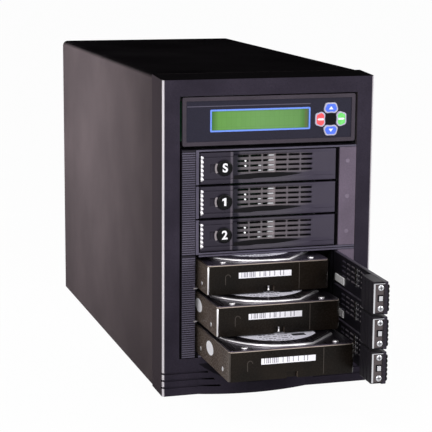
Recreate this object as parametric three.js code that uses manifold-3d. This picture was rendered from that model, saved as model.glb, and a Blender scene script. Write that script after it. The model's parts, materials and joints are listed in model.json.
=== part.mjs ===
// Tower copier for hard drives: a steel case with five front bays.
// The top bay holds the control panel, and each pair of bays below holds a rack of three hinged doors.
// Millimetres, +Z up, front towards -Y. The origin is under the middle of the part, on the floor.
import * as THREE from 'three';
import { mergeVertices } from 'three/addons/utils/BufferGeometryUtils.js';
import Module from 'manifold-3d';

const wasm = await Module();
wasm.setup();

// Fits shared by all pieces
const seat = 0.3;
const slip = 0.5;
const overrun = 3;
const weld = 0.0001;

// Steel case
const caseSide = 14.1;
const caseHead = 14.75;
const caseDepth = 393;
const sheet = 1;
const bendRadius = 5;
const skirtLift = 2;
const panFlange = 14;

// Feet
const footRadius = 9;
const footHeight = 3;
const footInset = 24;
const footDraft = 1.2;
const frontFootPlace = 52;

// Front bezel
const bezelDepth = 32;
const bezelSlope = 1.9;
const bezelLift = 0.6;
const bezelWall = 3;
const bezelEdge = 2.2;
const chinDrop = 5;
const chinStraight = 9;
const chinBulge = 7.5;
const chinHalfWidth = 46;
const chinOffset = -12.5;
const chinGrooveHeight = 1.5;
const chinGrooveDepth = 0.9;
const chinGroovePitch = 5.75;
const chinGrooveFoot = 7.2;
const chinGrooveLength = 48;
const chinGrooveStep = 5;
const chinGrooveReturn = 4;
const chinGrooveCount = 3;

// Five bays of the 5.25-inch size
const bayHeight = 42.33;
const bayFloor = 31;
const bayCount = 5;
const rackBays = 2;
const bayCageDepth = 188;
const baySlotLength = 12;
const baySlotHeight = 3.4;
const baySlotPlaceShares = [0.62];

// Control panel in the top bay
const panelMargin = 0.6;
const panelProud = 0.6;
const panelRim = 2.8;
const panelRimStep = 1;
const panelPlate = 2.8;
const panelArm = 2;
const panelArmDepth = 42;
const panelBossRadius = 3;
const panelBossInset = 7;
const windowWidth = 83.6;
const windowHeight = 17.8;
const windowOffset = -7.8;
const windowRise = 1.25;
const screenBorder = 3;
const boardMargin = 5;
const boardThickness = 1.6;
const boardPlace = 14;
const switchSide = 6;
const switchHeight = 4.4;
const keyFromSide = 23.1;
const keyReach = 8.9;
const keyProud = 0.9;
const keyTravel = 1.2;
const keyStemRadius = 2;
const keyHalfWide = 6.1;
const keyHalfCrown = 4.3;
const keyHalfRoot = 3.7;
const keyHalfTall = 4.1;
const keyShoulder = 1.8;
const keyRootHollow = 0.7;
const keyClearance = 0.35;

// Rack face frame and its three doors
const rackMargin = 0.3;
const rackRail = 1.4;
const frameDepth = 16;
const ribStripWidth = 10.8;
const ribPitch = 4.2;
const ribDepth = 0.5;
const ribLandShare = 0.6;
const seamWidth = 0.5;
const stileWidth = 16.8;
const doorRows = 3;
const doorGap = 1;
const doorEndGap = 0.9;
const doorProud = 1;
const doorPlate = 4;
const doorEdgeRadius = 1.2;
const doorEndToAxis = 1.6;
const doorOpenAngle = 88;
const hingeFromSide = 16.4;
const hingeAxisDepth = 1.4;
const knuckleRadius = 1.6;
const knuckleBore = 1.05;
const pinRadius = 0.8;
const pinEndPlay = 0.4;
const stripThickness = 2;

// Door face
const latchLength = 27.1;
const latchDepth = 12;
const latchWall = 1.5;
const latchFaceWall = 3.2;
const latchRoomHeight = 16;
const gripWidth = 2.6;
const gripHeight = 20.6;
const gripScallops = 6;
const gripBump = 1.1;
const scoopDepth = 2.2;
const scoopHeight = 22;
const scoopRunShares = [0, 0.22, 0.66];
const scoopSinkShares = [1, 1, 0];
const slotRows = 4;
const slotColumns = 6;
const slotWidth = 9.3;
const slotHeight = 2;
const slotRowPitch = 4;
const slotColumnPitch = 10.6;
const slotStart = 4.2;
const slotRise = 2.75;
const latchGroove = 0.6;
const latchGroovePlaceShare = 0.68;
const thumbDepth = 1.4;
const thumbShift = 1.2;
const thumbRadius = 7.4;
const keyholeWidth = 2.7;
const keyholeHeight = 3.6;
const keyholeFromSeam = 17.4;
const discRadius = 6.2;
const discThickness = 1;
const discFromSeam = 7.2;
const latchTravel = 2.5;
const latchStem = 4;
const latchBarHeight = 7;
const latchBarDepth = 3.2;
const boltWidth = 3.8;
const boltHeight = 4.6;
const boltReach = 1.5;
const boltDepth = 6.4;
const endPlateWidth = 9;
const endPlateHeight = 22;
const endPlateThickness = 1;
const endPlateMargin = 0.9;
const catchNotch = 1.6;
const catchNotchHeight = 7;

// Rack cage and backplane
const cageMargin = 1.4;
const cageSheet = 0.8;
const ledgeWidth = 3.2;
const ledgeThickness = 0.5;
const backplaneThickness = 1.6;
const connectorWidth = 42;
const connectorHeight = 5;
const connectorDepth = 6;
const connectorMating = 3;
const connectorRise = 1.5;

// Hard drives of the 3.5-inch size
const driveWidth = 101.6;
const driveHeight = 26.1;
const driveLength = 147;
const driveFromSide = 16.9;
const driveHingeRoom = 30.3;
const driveSeat = 13.4;
const driveOut = [80, 48, 22];
const driveCorner = 3;
const driveFloat = 0.2;
const driveFrontLip = 10;
const driveRearMargin = 6;
const lidThickness = 1;
const lidStep = 1.9;
const lidInset = 0.7;
const lidRimInset = 2.2;
const lidRimRadius = 47.5;
const lidStraight = 18;
const lidFieldMargin = 8;
const lidSlantDepth = 25;
const boardRecess = 3.4;
const driveRailWidth = 6;
const driveBoardLengthShare = 0.62;
const driveBoardThickness = 1.2;
const driveChipHeight = 1.4;
const driveChipSide = 15;
const driveChipPlaceShares = [[0.34, 0.3], [0.62, 0.42], [0.4, 0.68]];
const driveNotchWidth = 9;
const driveNotchHeight = 5;
const driveNotchDepth = 3;
const sideHoleRadius = 1.6;
const sideHoleDepth = 3.4;
const sideHoleRise = 6.35;
const sideHoleFacets = 6;
const sideHoleFromRear = [28.5, 70.1, 130.1];

// Power supply at the top of the back
const supplyWidth = 150;
const supplyHeight = 86;
const supplyDepth = 140;
const supplyDrop = 4;
const supplyWall = 1.4;
const supplyFrame = 7;
const inletWidth = 30;
const inletHeight = 23;
const inletDepth = 18;
const inletLip = 1.6;
const inletWall = 2;
const inletFromSide = 30;
const inletDrop = 24;
const inletPinLength = 8;
const inletPinWidth = 4;
const inletPinThickness = 2;
const inletPinSpread = 7;
const rockerWidth = 19;
const rockerHeight = 13;
const rockerDepth = 9;
const rockerWall = 1.6;
const rockerTilt = 10;
const rockerFromSide = 30;
const rockerDrop = 60;
const rockerAxleRadius = 1.4;

// Fans behind round grilles
const fanSide = 80;
const fanDepth = 25;
const fanCorner = 5;
const fanBore = 38;
const fanHub = 17;
const fanBlades = 7;
const fanBladeThickness = 1.6;
const fanBladeChord = 20;
const fanBladePitch = 38;
const fanTipGap = 1;
const fanArmWidth = 4;
const fanArmDepth = 3;
const fanMotorHeight = 5;
const fanMotorStep = 3;
const exhaustHeight = 92;
const exhaustOffset = 24;
const supplyFanOffset = 22;
const grilleRings = 3;
const grilleRingPitch = 10.4;
const grilleSlit = 6.6;
const grilleSpoke = 3.4;
const ventSlots = 6;
const ventPitch = 9;
const ventLength = 34;
const ventHeight = 3.5;
const ventOffset = -52;
const ventHeightFoot = 66;
const fanFacets = 20;
const roundFacets = 16;
const fineFacets = 12;
const pinFacets = 8;
const bendFacets = 6;
const edgeFacets = 4;
const cornerFacets = 3;
const smallCornerFacets = 2;

// Values that follow from the sizes above
const bayWidth = driveFromSide + driveWidth + driveHingeRoom;
const halfBay = bayWidth / 2;
const halfCase = halfBay + caseSide;
const bayTop = bayFloor + bayCount * bayHeight;
const caseTop = bayTop + caseHead;
const bezelTop = caseTop - bezelSlope;
const chinHeight = bayFloor - chinDrop;
const rearOuter = caseDepth - seat;
const rearInner = rearOuter - sheet;
const panelBottom = bayTop - bayHeight + panelMargin / 2;
const panelTop = bayTop - panelMargin / 2;
const panelLeft = -halfBay + panelMargin;
const panelMiddle = (panelBottom + panelTop) / 2;
const panelFace = panelRimStep - panelProud;
const panelBack = panelFace + panelPlate;
const keyRow = panelMiddle;
const keyCentre = halfBay - keyFromSide;
const rackPitch = rackBays * bayHeight;
const rackHeight = rackPitch - 2 * rackMargin;
const rackLeft = -halfBay + rackMargin;
const rackRight = halfBay - rackMargin;
const hingeAxisX = halfBay - hingeFromSide;
const doorReach = hingeAxisX + halfBay - stileWidth;
const cageWidth = bayWidth - 2 * cageMargin;
const driveLeft = driveFromSide - halfBay;
const doorPitch = (rackHeight - 2 * rackRail) / doorRows;
const doorHeight = doorPitch - doorGap;
const doorFace = -doorProud - hingeAxisDepth;
const doorBack = doorFace + doorPlate;
const doorSeam = latchLength - doorReach;
const stileLeftEdge = hingeAxisX - doorReach - doorEndGap;
const stileRightEdge = hingeAxisX + knuckleRadius + seat;
const discX = doorSeam - discFromSeam;
const boltLine = doorFace + boltDepth;
const cageFront = frameDepth + seat;
const backplaneFront = driveSeat + driveLength + connectorDepth - connectorMating;
const driveRight = driveLeft + driveWidth;
const guideLeft = driveLeft - slip;
const guideRight = driveRight + slip;
const cageHeight = rackHeight - 2 * seat;
const panTop = footHeight + seat + sheet;
const supplyTop = caseTop - sheet - supplyDrop;
const supplyBottom = supplyTop - supplyHeight;
const supplyBack = rearInner - seat;

// Colours and finishes
const finishes = {
  bezel: { color: 0x37343c, roughness: 0.5, metalness: 0 },
  cover: { color: 0x3a3637, roughness: 0.42, metalness: 0.35 },
  steel: { color: 0xb4b6b8, roughness: 0.38, metalness: 0.9 },
  rubber: { color: 0x1b1b1c, roughness: 0.85, metalness: 0 },
  panel: { color: 0x26242c, roughness: 0.4, metalness: 0 },
  screen: { color: 0x6cab4b, roughness: 0.18, metalness: 0 },
  board: { color: 0x1f5a37, roughness: 0.55, metalness: 0 },
  blueKey: { color: 0x5a7bf0, roughness: 0.4, metalness: 0 },
  redKey: { color: 0xff5a5f, roughness: 0.4, metalness: 0 },
  greenKey: { color: 0x7fe07a, roughness: 0.4, metalness: 0 },
  frame: { color: 0x55525c, roughness: 0.5, metalness: 0 },
  door: { color: 0x4a464c, roughness: 0.42, metalness: 0 },
  strip: { color: 0x6f6472, roughness: 0.5, metalness: 0 },
  latch: { color: 0x101012, roughness: 0.35, metalness: 0 },
  plate: { color: 0xc4c2c2, roughness: 0.3, metalness: 0.9 },
  casting: { color: 0x201c18, roughness: 0.3, metalness: 0.55 },
  lid: { color: 0x3c3a3a, roughness: 0.25, metalness: 0.85 },
  black: { color: 0x18181a, roughness: 0.5, metalness: 0 },
};

// Turns a closed geometry into a solid that can be joined and cut
function solidOf(geometry) {
  geometry.deleteAttribute('normal');
  geometry.deleteAttribute('uv');
  const welded = mergeVertices(geometry, weld);
  const vertProperties = new Float32Array(welded.attributes.position.array);
  const triVerts = new Uint32Array(welded.index.array);
  return new wasm.Manifold(new wasm.Mesh({ numProp: 3, vertProperties, triVerts }));
}

// Turns a solid back into a geometry with flat faces
function geometryOf(solid) {
  const mesh = solid.getMesh();
  const geometry = new THREE.BufferGeometry();
  geometry.setAttribute('position', new THREE.BufferAttribute(new Float32Array(mesh.vertProperties), 3));
  geometry.setIndex(new THREE.BufferAttribute(new Uint32Array(mesh.triVerts), 1));
  geometry.computeVertexNormals();
  return geometry;
}

function makePiece(name, solid, finish) {
  const mesh = new THREE.Mesh(geometryOf(solid), new THREE.MeshStandardMaterial(finish));
  mesh.name = name;
  return mesh;
}

function joinAll(solids) {
  return solids.reduce((whole, next) => whole.add(next));
}

function cutAll(solid, cutters) {
  return cutters.reduce((whole, next) => whole.subtract(next), solid);
}

// A box between two bounds on each axis
function block([left, right], [front, back], [bottom, top]) {
  const geometry = new THREE.BoxGeometry(right - left, back - front, top - bottom);
  geometry.translate((left + right) / 2, (front + back) / 2, (bottom + top) / 2);
  return solidOf(geometry);
}

function outlineOf(points) {
  return new THREE.Shape(points.map(([across, along]) => new THREE.Vector2(across, along)));
}

// A rectangle with round corners
function roundedOutline([left, right], [low, high], radius) {
  const shape = new THREE.Shape();
  shape.absarc(right - radius, low + radius, radius, -Math.PI / 2, 0, false);
  shape.absarc(right - radius, high - radius, radius, 0, Math.PI / 2, false);
  shape.absarc(left + radius, high - radius, radius, Math.PI / 2, Math.PI, false);
  shape.absarc(left + radius, low + radius, radius, Math.PI, 1.5 * Math.PI, false);
  shape.closePath();
  return shape;
}

function extrude(shape, length, facets = edgeFacets) {
  return new THREE.ExtrudeGeometry(shape, { depth: length, bevelEnabled: false, curveSegments: facets });
}

// Prisms that run up, back or to the right
function prismUp(shape, [bottom, top], facets) {
  const geometry = extrude(shape, top - bottom, facets);
  geometry.translate(0, 0, bottom);
  return solidOf(geometry);
}

function prismBack(shape, [front, back], facets) {
  const geometry = extrude(shape, back - front, facets);
  geometry.rotateX(Math.PI / 2);
  geometry.translate(0, back, 0);
  return solidOf(geometry);
}

function prismRight(shape, [left, right], facets) {
  const geometry = extrude(shape, right - left, facets);
  const turn = new THREE.Matrix4();
  turn.makeBasis(new THREE.Vector3(0, 1, 0), new THREE.Vector3(0, 0, 1), new THREE.Vector3(1, 0, 0));
  geometry.applyMatrix4(turn);
  geometry.translate(left, 0, 0);
  return solidOf(geometry);
}

// Round bars along each axis
function barUp(radius, [x, y], [bottom, top], facets = fineFacets) {
  const geometry = new THREE.CylinderGeometry(radius, radius, top - bottom, facets);
  geometry.rotateX(Math.PI / 2);
  geometry.translate(x, y, (bottom + top) / 2);
  return solidOf(geometry);
}

function barBack(radius, [x, z], [front, back], facets = fineFacets) {
  const geometry = new THREE.CylinderGeometry(radius, radius, back - front, facets);
  geometry.translate(x, (front + back) / 2, z);
  return solidOf(geometry);
}

function barRight(radius, [y, z], [left, right], facets = fineFacets) {
  const geometry = new THREE.CylinderGeometry(radius, radius, right - left, facets);
  geometry.rotateZ(-Math.PI / 2);
  geometry.translate((left + right) / 2, y, z);
  return solidOf(geometry);
}

// Case pieces

// An outline open downwards, with round upper corners
function archOutline(halfWidth, bottom, top, radius) {
  const shape = new THREE.Shape();
  shape.moveTo(-halfWidth, bottom);
  shape.lineTo(halfWidth, bottom);
  shape.absarc(halfWidth - radius, top - radius, radius, 0, Math.PI / 2, false);
  shape.absarc(radius - halfWidth, top - radius, radius, Math.PI / 2, Math.PI, false);
  shape.closePath();
  return shape;
}

function makeCover() {
  const outside = archOutline(halfCase, skirtLift, caseTop, bendRadius);
  const inside = archOutline(halfCase - sheet, skirtLift - overrun, caseTop - sheet, bendRadius - sheet);
  const front = bezelDepth + seat;
  const body = prismBack(outside, [front, caseDepth], bendFacets);
  return body.subtract(prismBack(inside, [front - overrun, caseDepth + overrun], bendFacets));
}

function makePan() {
  const side = halfCase - sheet - seat;
  const front = bezelDepth + seat;
  const back = rearInner - seat;
  const bottom = footHeight + seat;
  const body = block([-side, side], [front, back], [bottom, bottom + panFlange]);
  const roomHeights = [panTop, panTop + panFlange];
  return body.subtract(block([sheet - side, side - sheet], [front - overrun, back - sheet], roomHeights));
}

function makeFoot() {
  const profile = [[0, 0], [footRadius - footDraft, 0], [footRadius, footHeight], [0, footHeight]];
  const geometry = new THREE.LatheGeometry(profile.map(([x, y]) => new THREE.Vector2(x, y)), roundFacets);
  geometry.rotateX(Math.PI / 2);
  return solidOf(geometry);
}

// A chin that swells forward and fades out upwards
function makeChin() {
  const plan = new THREE.Shape();
  const rise = chinHalfWidth * chinHalfWidth;
  const radius = (rise + chinBulge * chinBulge) / (2 * chinBulge);
  const halfAngle = Math.asin(chinHalfWidth / radius);
  const start = -Math.PI / 2 - halfAngle;
  plan.absarc(chinOffset, radius - chinBulge, radius, start, start + 2 * halfAngle, false);
  plan.lineTo(chinOffset + chinHalfWidth, bezelWall);
  plan.lineTo(chinOffset - chinHalfWidth, bezelWall);
  plan.closePath();
  const side = outlineOf([
    [-chinBulge, bezelLift],
    [bezelWall, bezelLift],
    [bezelWall, chinHeight],
    [0, chinHeight],
    [-chinBulge, bezelLift + chinStraight],
  ]);
  const tall = prismUp(plan, [bezelLift, chinHeight], pinFacets);
  return tall.intersect(prismRight(side, [-halfCase, halfCase]));
}

function chinGrooves() {
  const cutters = [];
  for (let row = 0; row < chinGrooveCount; row += 1) {
    const foot = chinGrooveFoot + row * chinGroovePitch;
    const inner = halfCase - chinGrooveLength + row * chinGrooveStep;
    const heights = [foot, foot + chinGrooveHeight];
    for (const side of [-1, 1]) {
      const beyond = side * (halfCase + overrun);
      const acrossFront = [side * inner, beyond].sort((a, b) => a - b);
      const aroundEdge = [side * (halfCase - chinGrooveDepth), beyond].sort((a, b) => a - b);
      cutters.push(block(acrossFront, [-chinBulge - overrun, chinGrooveDepth], heights));
      cutters.push(block(aroundEdge, [-overrun, chinGrooveReturn], heights));
    }
  }
  return cutters;
}

function makeBezel() {
  const plan = new THREE.Shape();
  plan.moveTo(halfCase, bezelDepth);
  plan.lineTo(-halfCase, bezelDepth);
  plan.absarc(bezelEdge - halfCase, bezelEdge, bezelEdge, Math.PI, 1.5 * Math.PI, false);
  plan.absarc(halfCase - bezelEdge, bezelEdge, bezelEdge, -Math.PI / 2, 0, false);
  plan.closePath();
  const body = prismUp(plan, [bezelLift, caseTop], edgeFacets).add(makeChin());
  const side = halfCase - bezelWall;
  const roomHeights = [bezelLift + bezelWall, bezelTop - bezelWall];
  const room = block([-side, side], [bezelWall, bezelDepth + overrun], roomHeights);
  const mouth = block([-halfBay, halfBay], [-overrun, bezelDepth], [bayFloor, bayTop]);
  const slope = outlineOf([
    [0, bezelTop],
    [bezelDepth, caseTop],
    [bezelDepth, caseTop + overrun],
    [-overrun, caseTop + overrun],
    [-overrun, bezelTop],
  ]);
  const lid = prismRight(slope, [-halfCase - overrun, halfCase + overrun]);
  return cutAll(body, [room, mouth, lid, ...chinGrooves()]);
}

// The steel cage that carries whatever fills the bays
function makeBayCage() {
  const front = bezelWall + seat;
  const wall = halfBay + sheet;
  const floorTop = bayFloor - seat;
  const roof = bayTop + seat;
  const body = block([-wall, wall], [front, bayCageDepth], [panTop + seat, roof + sheet]);
  const depth = [front - overrun, bayCageDepth + overrun];
  const cutters = [
    block([-halfBay, halfBay], depth, [floorTop, roof]),
    block([-halfBay, halfBay], depth, [panTop - overrun, floorTop - sheet]),
  ];
  for (let bay = 0; bay < bayCount; bay += 1) {
    const middle = bayFloor + (bay + 1 / 2) * bayHeight;
    for (const share of baySlotPlaceShares) {
      const start = share * bayCageDepth;
      const heights = [middle - baySlotHeight / 2, middle + baySlotHeight / 2];
      cutters.push(block([-wall - overrun, wall + overrun], [start, start + baySlotLength], heights));
    }
  }
  return cutAll(body, cutters);
}

// Ring slits with a cross of spokes left between them
function grille([x, z], [front, back]) {
  const rings = [];
  for (let ring = 1; ring <= grilleRings; ring += 1) {
    const outer = ring * grilleRingPitch + grilleSlit / 2;
    const disc = barBack(outer, [x, z], [front, back], fanFacets);
    const core = barBack(outer - grilleSlit, [x, z], [front - overrun, back + overrun], fanFacets);
    rings.push(disc.subtract(core));
  }
  const half = grilleSpoke / 2;
  const depth = [front - overrun, back + overrun];
  const across = block([x - fanBore, x + fanBore], depth, [z - half, z + half]);
  const upright = block([x - half, x + half], depth, [z - fanBore, z + fanBore]);
  return cutAll(joinAll(rings), [across, upright]);
}

function makeRearPanel() {
  const inward = sheet + seat;
  const plate = archOutline(halfCase - inward, footHeight + seat, caseTop - inward, bendRadius - inward);
  const body = prismBack(plate, [rearInner, rearOuter], bendFacets);
  const depth = [rearInner - overrun, rearOuter + overrun];
  const windowSide = supplyWidth / 2 - supplyFrame;
  const cutters = [
    block([-windowSide, windowSide], depth, [supplyBottom + supplyFrame, supplyTop - supplyFrame]),
    grille([exhaustOffset, exhaustHeight], depth),
  ];
  for (let row = 0; row < ventSlots; row += 1) {
    const foot = ventHeightFoot + row * ventPitch;
    const middle = ventOffset;
    cutters.push(block([middle - ventLength / 2, middle + ventLength / 2], depth, [foot, foot + ventHeight]));
  }
  return cutAll(body, cutters);
}

// Fans

function makeRotor([x, z], [motorFace, back]) {
  const front = motorFace + slip;
  const hub = barBack(fanHub, [x, z], [front, back - slip], roundFacets);
  const motorRoom = fanHub - fanMotorStep + slip;
  const cup = barBack(motorRoom, [x, z], [front - overrun, motorFace + fanMotorHeight + slip], roundFacets);
  const blades = [];
  const root = fanHub - fanBladeThickness;
  for (let blade = 0; blade < fanBlades; blade += 1) {
    const geometry = new THREE.BoxGeometry(fanBore, fanBladeThickness, fanBladeChord);
    geometry.translate(root + fanBore / 2, 0, 0);
    geometry.rotateX(THREE.MathUtils.degToRad(90 - fanBladePitch));
    geometry.rotateY((blade / fanBlades) * 2 * Math.PI);
    geometry.translate(x, (front + back) / 2, z);
    blades.push(solidOf(geometry));
  }
  const sweep = barBack(fanBore - fanTipGap, [x, z], [front, back - slip], roundFacets);
  return hub.add(joinAll(blades).intersect(sweep)).subtract(cup);
}

// The motor plate, the boss that the rotor's cup turns round, and the four arms that hold them
function makeMotor([x, z], front) {
  const depth = [front, front + fanArmDepth];
  const plate = barBack(fanHub, [x, z], depth, roundFacets);
  const bossBack = front + fanArmDepth + fanMotorHeight;
  const boss = barBack(fanHub - fanMotorStep, [x, z], [front, bossBack], roundFacets);
  const arm = fanArmWidth / 2;
  const reach = fanSide / 2 - fanTipGap;
  const across = block([x - reach, x + reach], depth, [z - arm, z + arm]);
  const upright = block([x - arm, x + arm], depth, [z - reach, z + reach]);
  return joinAll([plate, boss, across, upright]);
}

function makeFanFrame([x, z], [front, back]) {
  const half = fanSide / 2;
  const square = roundedOutline([x - half, x + half], [z - half, z + half], fanCorner);
  const body = prismBack(square, [front, back], cornerFacets);
  const ring = body.subtract(barBack(fanBore, [x, z], [front - overrun, back + overrun], fanFacets));
  return ring.add(makeMotor([x, z], front));
}

// Power supply with its inlet and switch

const supplyFanAxis = [supplyFanOffset, (supplyTop + supplyBottom) / 2];
const supplyFanFront = supplyBack - supplyWall - fanDepth;
const inletX = inletFromSide - supplyWidth / 2;
const inletZ = supplyTop - inletDrop;
const rockerX = rockerFromSide - supplyWidth / 2;
const rockerZ = supplyTop - rockerDrop;
const rockerAxleY = supplyBack - rockerWall;

function makeSupply() {
  const side = supplyWidth / 2;
  const front = supplyBack - supplyDepth;
  const wallBack = supplyBack - supplyWall;
  const motorFront = supplyFanFront - fanArmDepth;
  const body = block([-side, side], [front, supplyBack], [supplyBottom, supplyTop]);
  const inside = [supplyBottom + supplyWall, supplyTop - supplyWall];
  const chamber = block([supplyWall - side, side - supplyWall], [front + supplyWall, motorFront], inside);
  const fanSideEdge = supplyFanOffset - fanSide / 2 - supplyWall;
  const besideFan = block([supplyWall - side, fanSideEdge], [front + supplyWall, wallBack], inside);
  const room = barBack(fanBore, supplyFanAxis, [motorFront - overrun, wallBack], fanFacets);
  const slits = grille(supplyFanAxis, [supplyBack - supplyWall - seat, supplyBack + overrun]);
  const halfInlet = inletWidth / 2 + seat;
  const inletHigh = inletHeight / 2 + seat;
  const inletRoom = block(
    [inletX - halfInlet, inletX + halfInlet],
    [supplyBack - inletDepth - seat, supplyBack + overrun],
    [inletZ - inletHigh, inletZ + inletHigh],
  );
  const rockerRoom = block(
    [rockerX - rockerWidth / 2, rockerX + rockerWidth / 2],
    [supplyBack - rockerDepth, supplyBack + overrun],
    [rockerZ - rockerHeight / 2, rockerZ + rockerHeight / 2],
  );
  const cutters = [chamber, besideFan, room, slits, inletRoom, rockerRoom];
  return cutAll(body, cutters).add(makeMotor(supplyFanAxis, motorFront));
}

// The three-pin mains socket, with two corners cut
function makeInlet() {
  const back = supplyBack + seat + inletLip;
  const halfWide = inletWidth / 2;
  const halfTall = inletHeight / 2;
  const barrel = block(
    [inletX - halfWide, inletX + halfWide],
    [supplyBack - inletDepth, supplyBack + seat],
    [inletZ - halfTall, inletZ + halfTall],
  );
  const lip = block(
    [inletX - halfWide - inletLip, inletX + halfWide + inletLip],
    [supplyBack + seat, back],
    [inletZ - halfTall - inletLip, inletZ + halfTall + inletLip],
  );
  const wide = halfWide - inletWall;
  const tall = halfTall - inletWall;
  const corner = inletPinWidth;
  const mouth = outlineOf([
    [inletX - wide, inletZ - tall],
    [inletX + wide, inletZ - tall],
    [inletX + wide, inletZ + tall - corner],
    [inletX + wide - corner, inletZ + tall],
    [inletX - wide + corner, inletZ + tall],
    [inletX - wide, inletZ + tall - corner],
  ]);
  const floor = supplyBack - inletDepth + inletWall;
  const socket = prismBack(mouth, [floor, back + overrun]);
  const pins = [-1, 0, 1].map((place) => {
    const x = inletX + place * inletPinSpread;
    const z = inletZ + (place === 0 ? inletPinWidth : -inletPinWidth) / 2;
    const halfPin = inletPinThickness / 2;
    const depth = [floor - halfPin, floor + inletPinLength];
    return block([x - halfPin, x + halfPin], depth, [z - halfPin, z + inletPinWidth - halfPin]);
  });
  return joinAll([barrel.add(lip).subtract(socket), ...pins]);
}

// A rocker about its axle, with a shallow V across its face
function makeRocker() {
  const tall = rockerHeight / 2 - slip - seat;
  const shoulder = tall / 2;
  const face = rockerWall + rockerAxleRadius / 2;
  const side = outlineOf([
    [-rockerDepth / 2, -shoulder],
    [face - rockerAxleRadius, -tall],
    [face, -tall],
    [face - rockerAxleRadius, 0],
    [face, tall],
    [face - rockerAxleRadius, tall],
    [-rockerDepth / 2, shoulder],
  ]);
  const wide = rockerWidth / 2 - slip;
  const body = prismRight(side, [-wide, wide]);
  return body.add(barRight(rockerAxleRadius, [0, 0], [seat - rockerWidth / 2, rockerWidth / 2 - seat]));
}

// Control panel

const keyPlaces = [
  { name: 'button_up', across: 0, up: 1, turn: 0, finish: 'blueKey' },
  { name: 'button_left', across: -1, up: 0, turn: 0.5, finish: 'redKey' },
  { name: 'button_down', across: 0, up: -1, turn: 1, finish: 'blueKey' },
  { name: 'button_right', across: 1, up: 0, turn: 1.5, finish: 'greenKey' },
];

// A six-sided key with a hollow root, as a solid about its own middle
function keySolid(grow, [front, back]) {
  const crown = keyHalfCrown + grow;
  const wide = keyHalfWide + grow;
  const root = keyHalfRoot + grow;
  const tall = keyHalfTall + grow;
  const outline = outlineOf([
    [-crown, tall],
    [-wide, -keyShoulder],
    [-root, -tall],
    [0, keyRootHollow - tall],
    [root, -tall],
    [wide, -keyShoulder],
    [crown, tall],
  ]);
  return prismBack(outline, [front, back]);
}

function placeKey(solid, key) {
  const turned = solid.rotate([0, -180 * key.turn, 0]);
  return turned.translate([keyCentre + key.across * keyReach, 0, keyRow + key.up * keyReach]);
}

function makeKey(key) {
  const cap = keySolid(0, [-keyProud, panelBack]);
  const stemEnd = boardPlace - switchHeight - keyTravel - slip / 2;
  return placeKey(cap.add(barBack(keyStemRadius, [0, 0], [panelFace, stemEnd])), key);
}

function bossPlaces() {
  const x = -panelLeft - panelArm - panelBossInset;
  const z = (panelTop - panelBottom) / 2 - panelBossInset;
  return [[-x, panelMiddle - z], [-x, panelMiddle + z], [x, panelMiddle - z], [x, panelMiddle + z]];
}

function windowBounds(grow) {
  const middle = panelMiddle + windowRise;
  const wide = windowWidth / 2 + grow;
  const tall = windowHeight / 2 + grow;
  return [[windowOffset - wide, windowOffset + wide], [middle - tall, middle + tall]];
}

function makeControlPanel() {
  const right = -panelLeft;
  const body = block([panelLeft, right], [-panelProud, panelBack], [panelBottom, panelTop]);
  const face = block(
    [panelLeft + panelRim, right - panelRim],
    [-panelProud - overrun, panelFace],
    [panelBottom + panelRim, panelTop - panelRim],
  );
  const [windowX, windowZ] = windowBounds(0);
  const window = block(windowX, [-overrun, panelBack + overrun], windowZ);
  const keyHole = keySolid(keyClearance, [-overrun, panelBack + overrun]);
  const keyHoles = keyPlaces.map((key) => placeKey(keyHole, key));
  const armZ = [panelBottom + panelRim, panelTop - panelRim];
  const armY = [panelFace, panelArmDepth];
  const arms = [
    block([panelLeft, panelLeft + panelArm], armY, armZ),
    block([right - panelArm, right], armY, armZ),
  ];
  const bosses = bossPlaces().map((place) => barBack(panelBossRadius, place, [panelFace, boardPlace - seat]));
  return joinAll([cutAll(body, [face, window, ...keyHoles]), ...arms, ...bosses]);
}

function makeScreen() {
  const [glassX, glassZ] = windowBounds(-seat);
  const [caseX, caseZ] = windowBounds(screenBorder);
  const glass = block(glassX, [panelFace + seat, panelBack + slip], glassZ);
  return glass.add(block(caseX, [panelBack + seat, boardPlace - seat], caseZ));
}

function makeControlBoard() {
  const side = -panelLeft - panelArm - slip;
  const z = [panelBottom + boardMargin, panelTop - boardMargin];
  const body = block([-side, side], [boardPlace, boardPlace + boardThickness], z);
  const half = switchSide / 2;
  const switches = keyPlaces.map((key) => {
    const x = keyCentre + key.across * keyReach;
    const row = keyRow + key.up * keyReach;
    return block([x - half, x + half], [boardPlace - switchHeight, boardPlace], [row - half, row + half]);
  });
  return joinAll([body, ...switches]);
}

// Racks

function doorMiddle(rackBottom, row) {
  return rackBottom + rackRail + (row + 1 / 2) * doorPitch;
}

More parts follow.
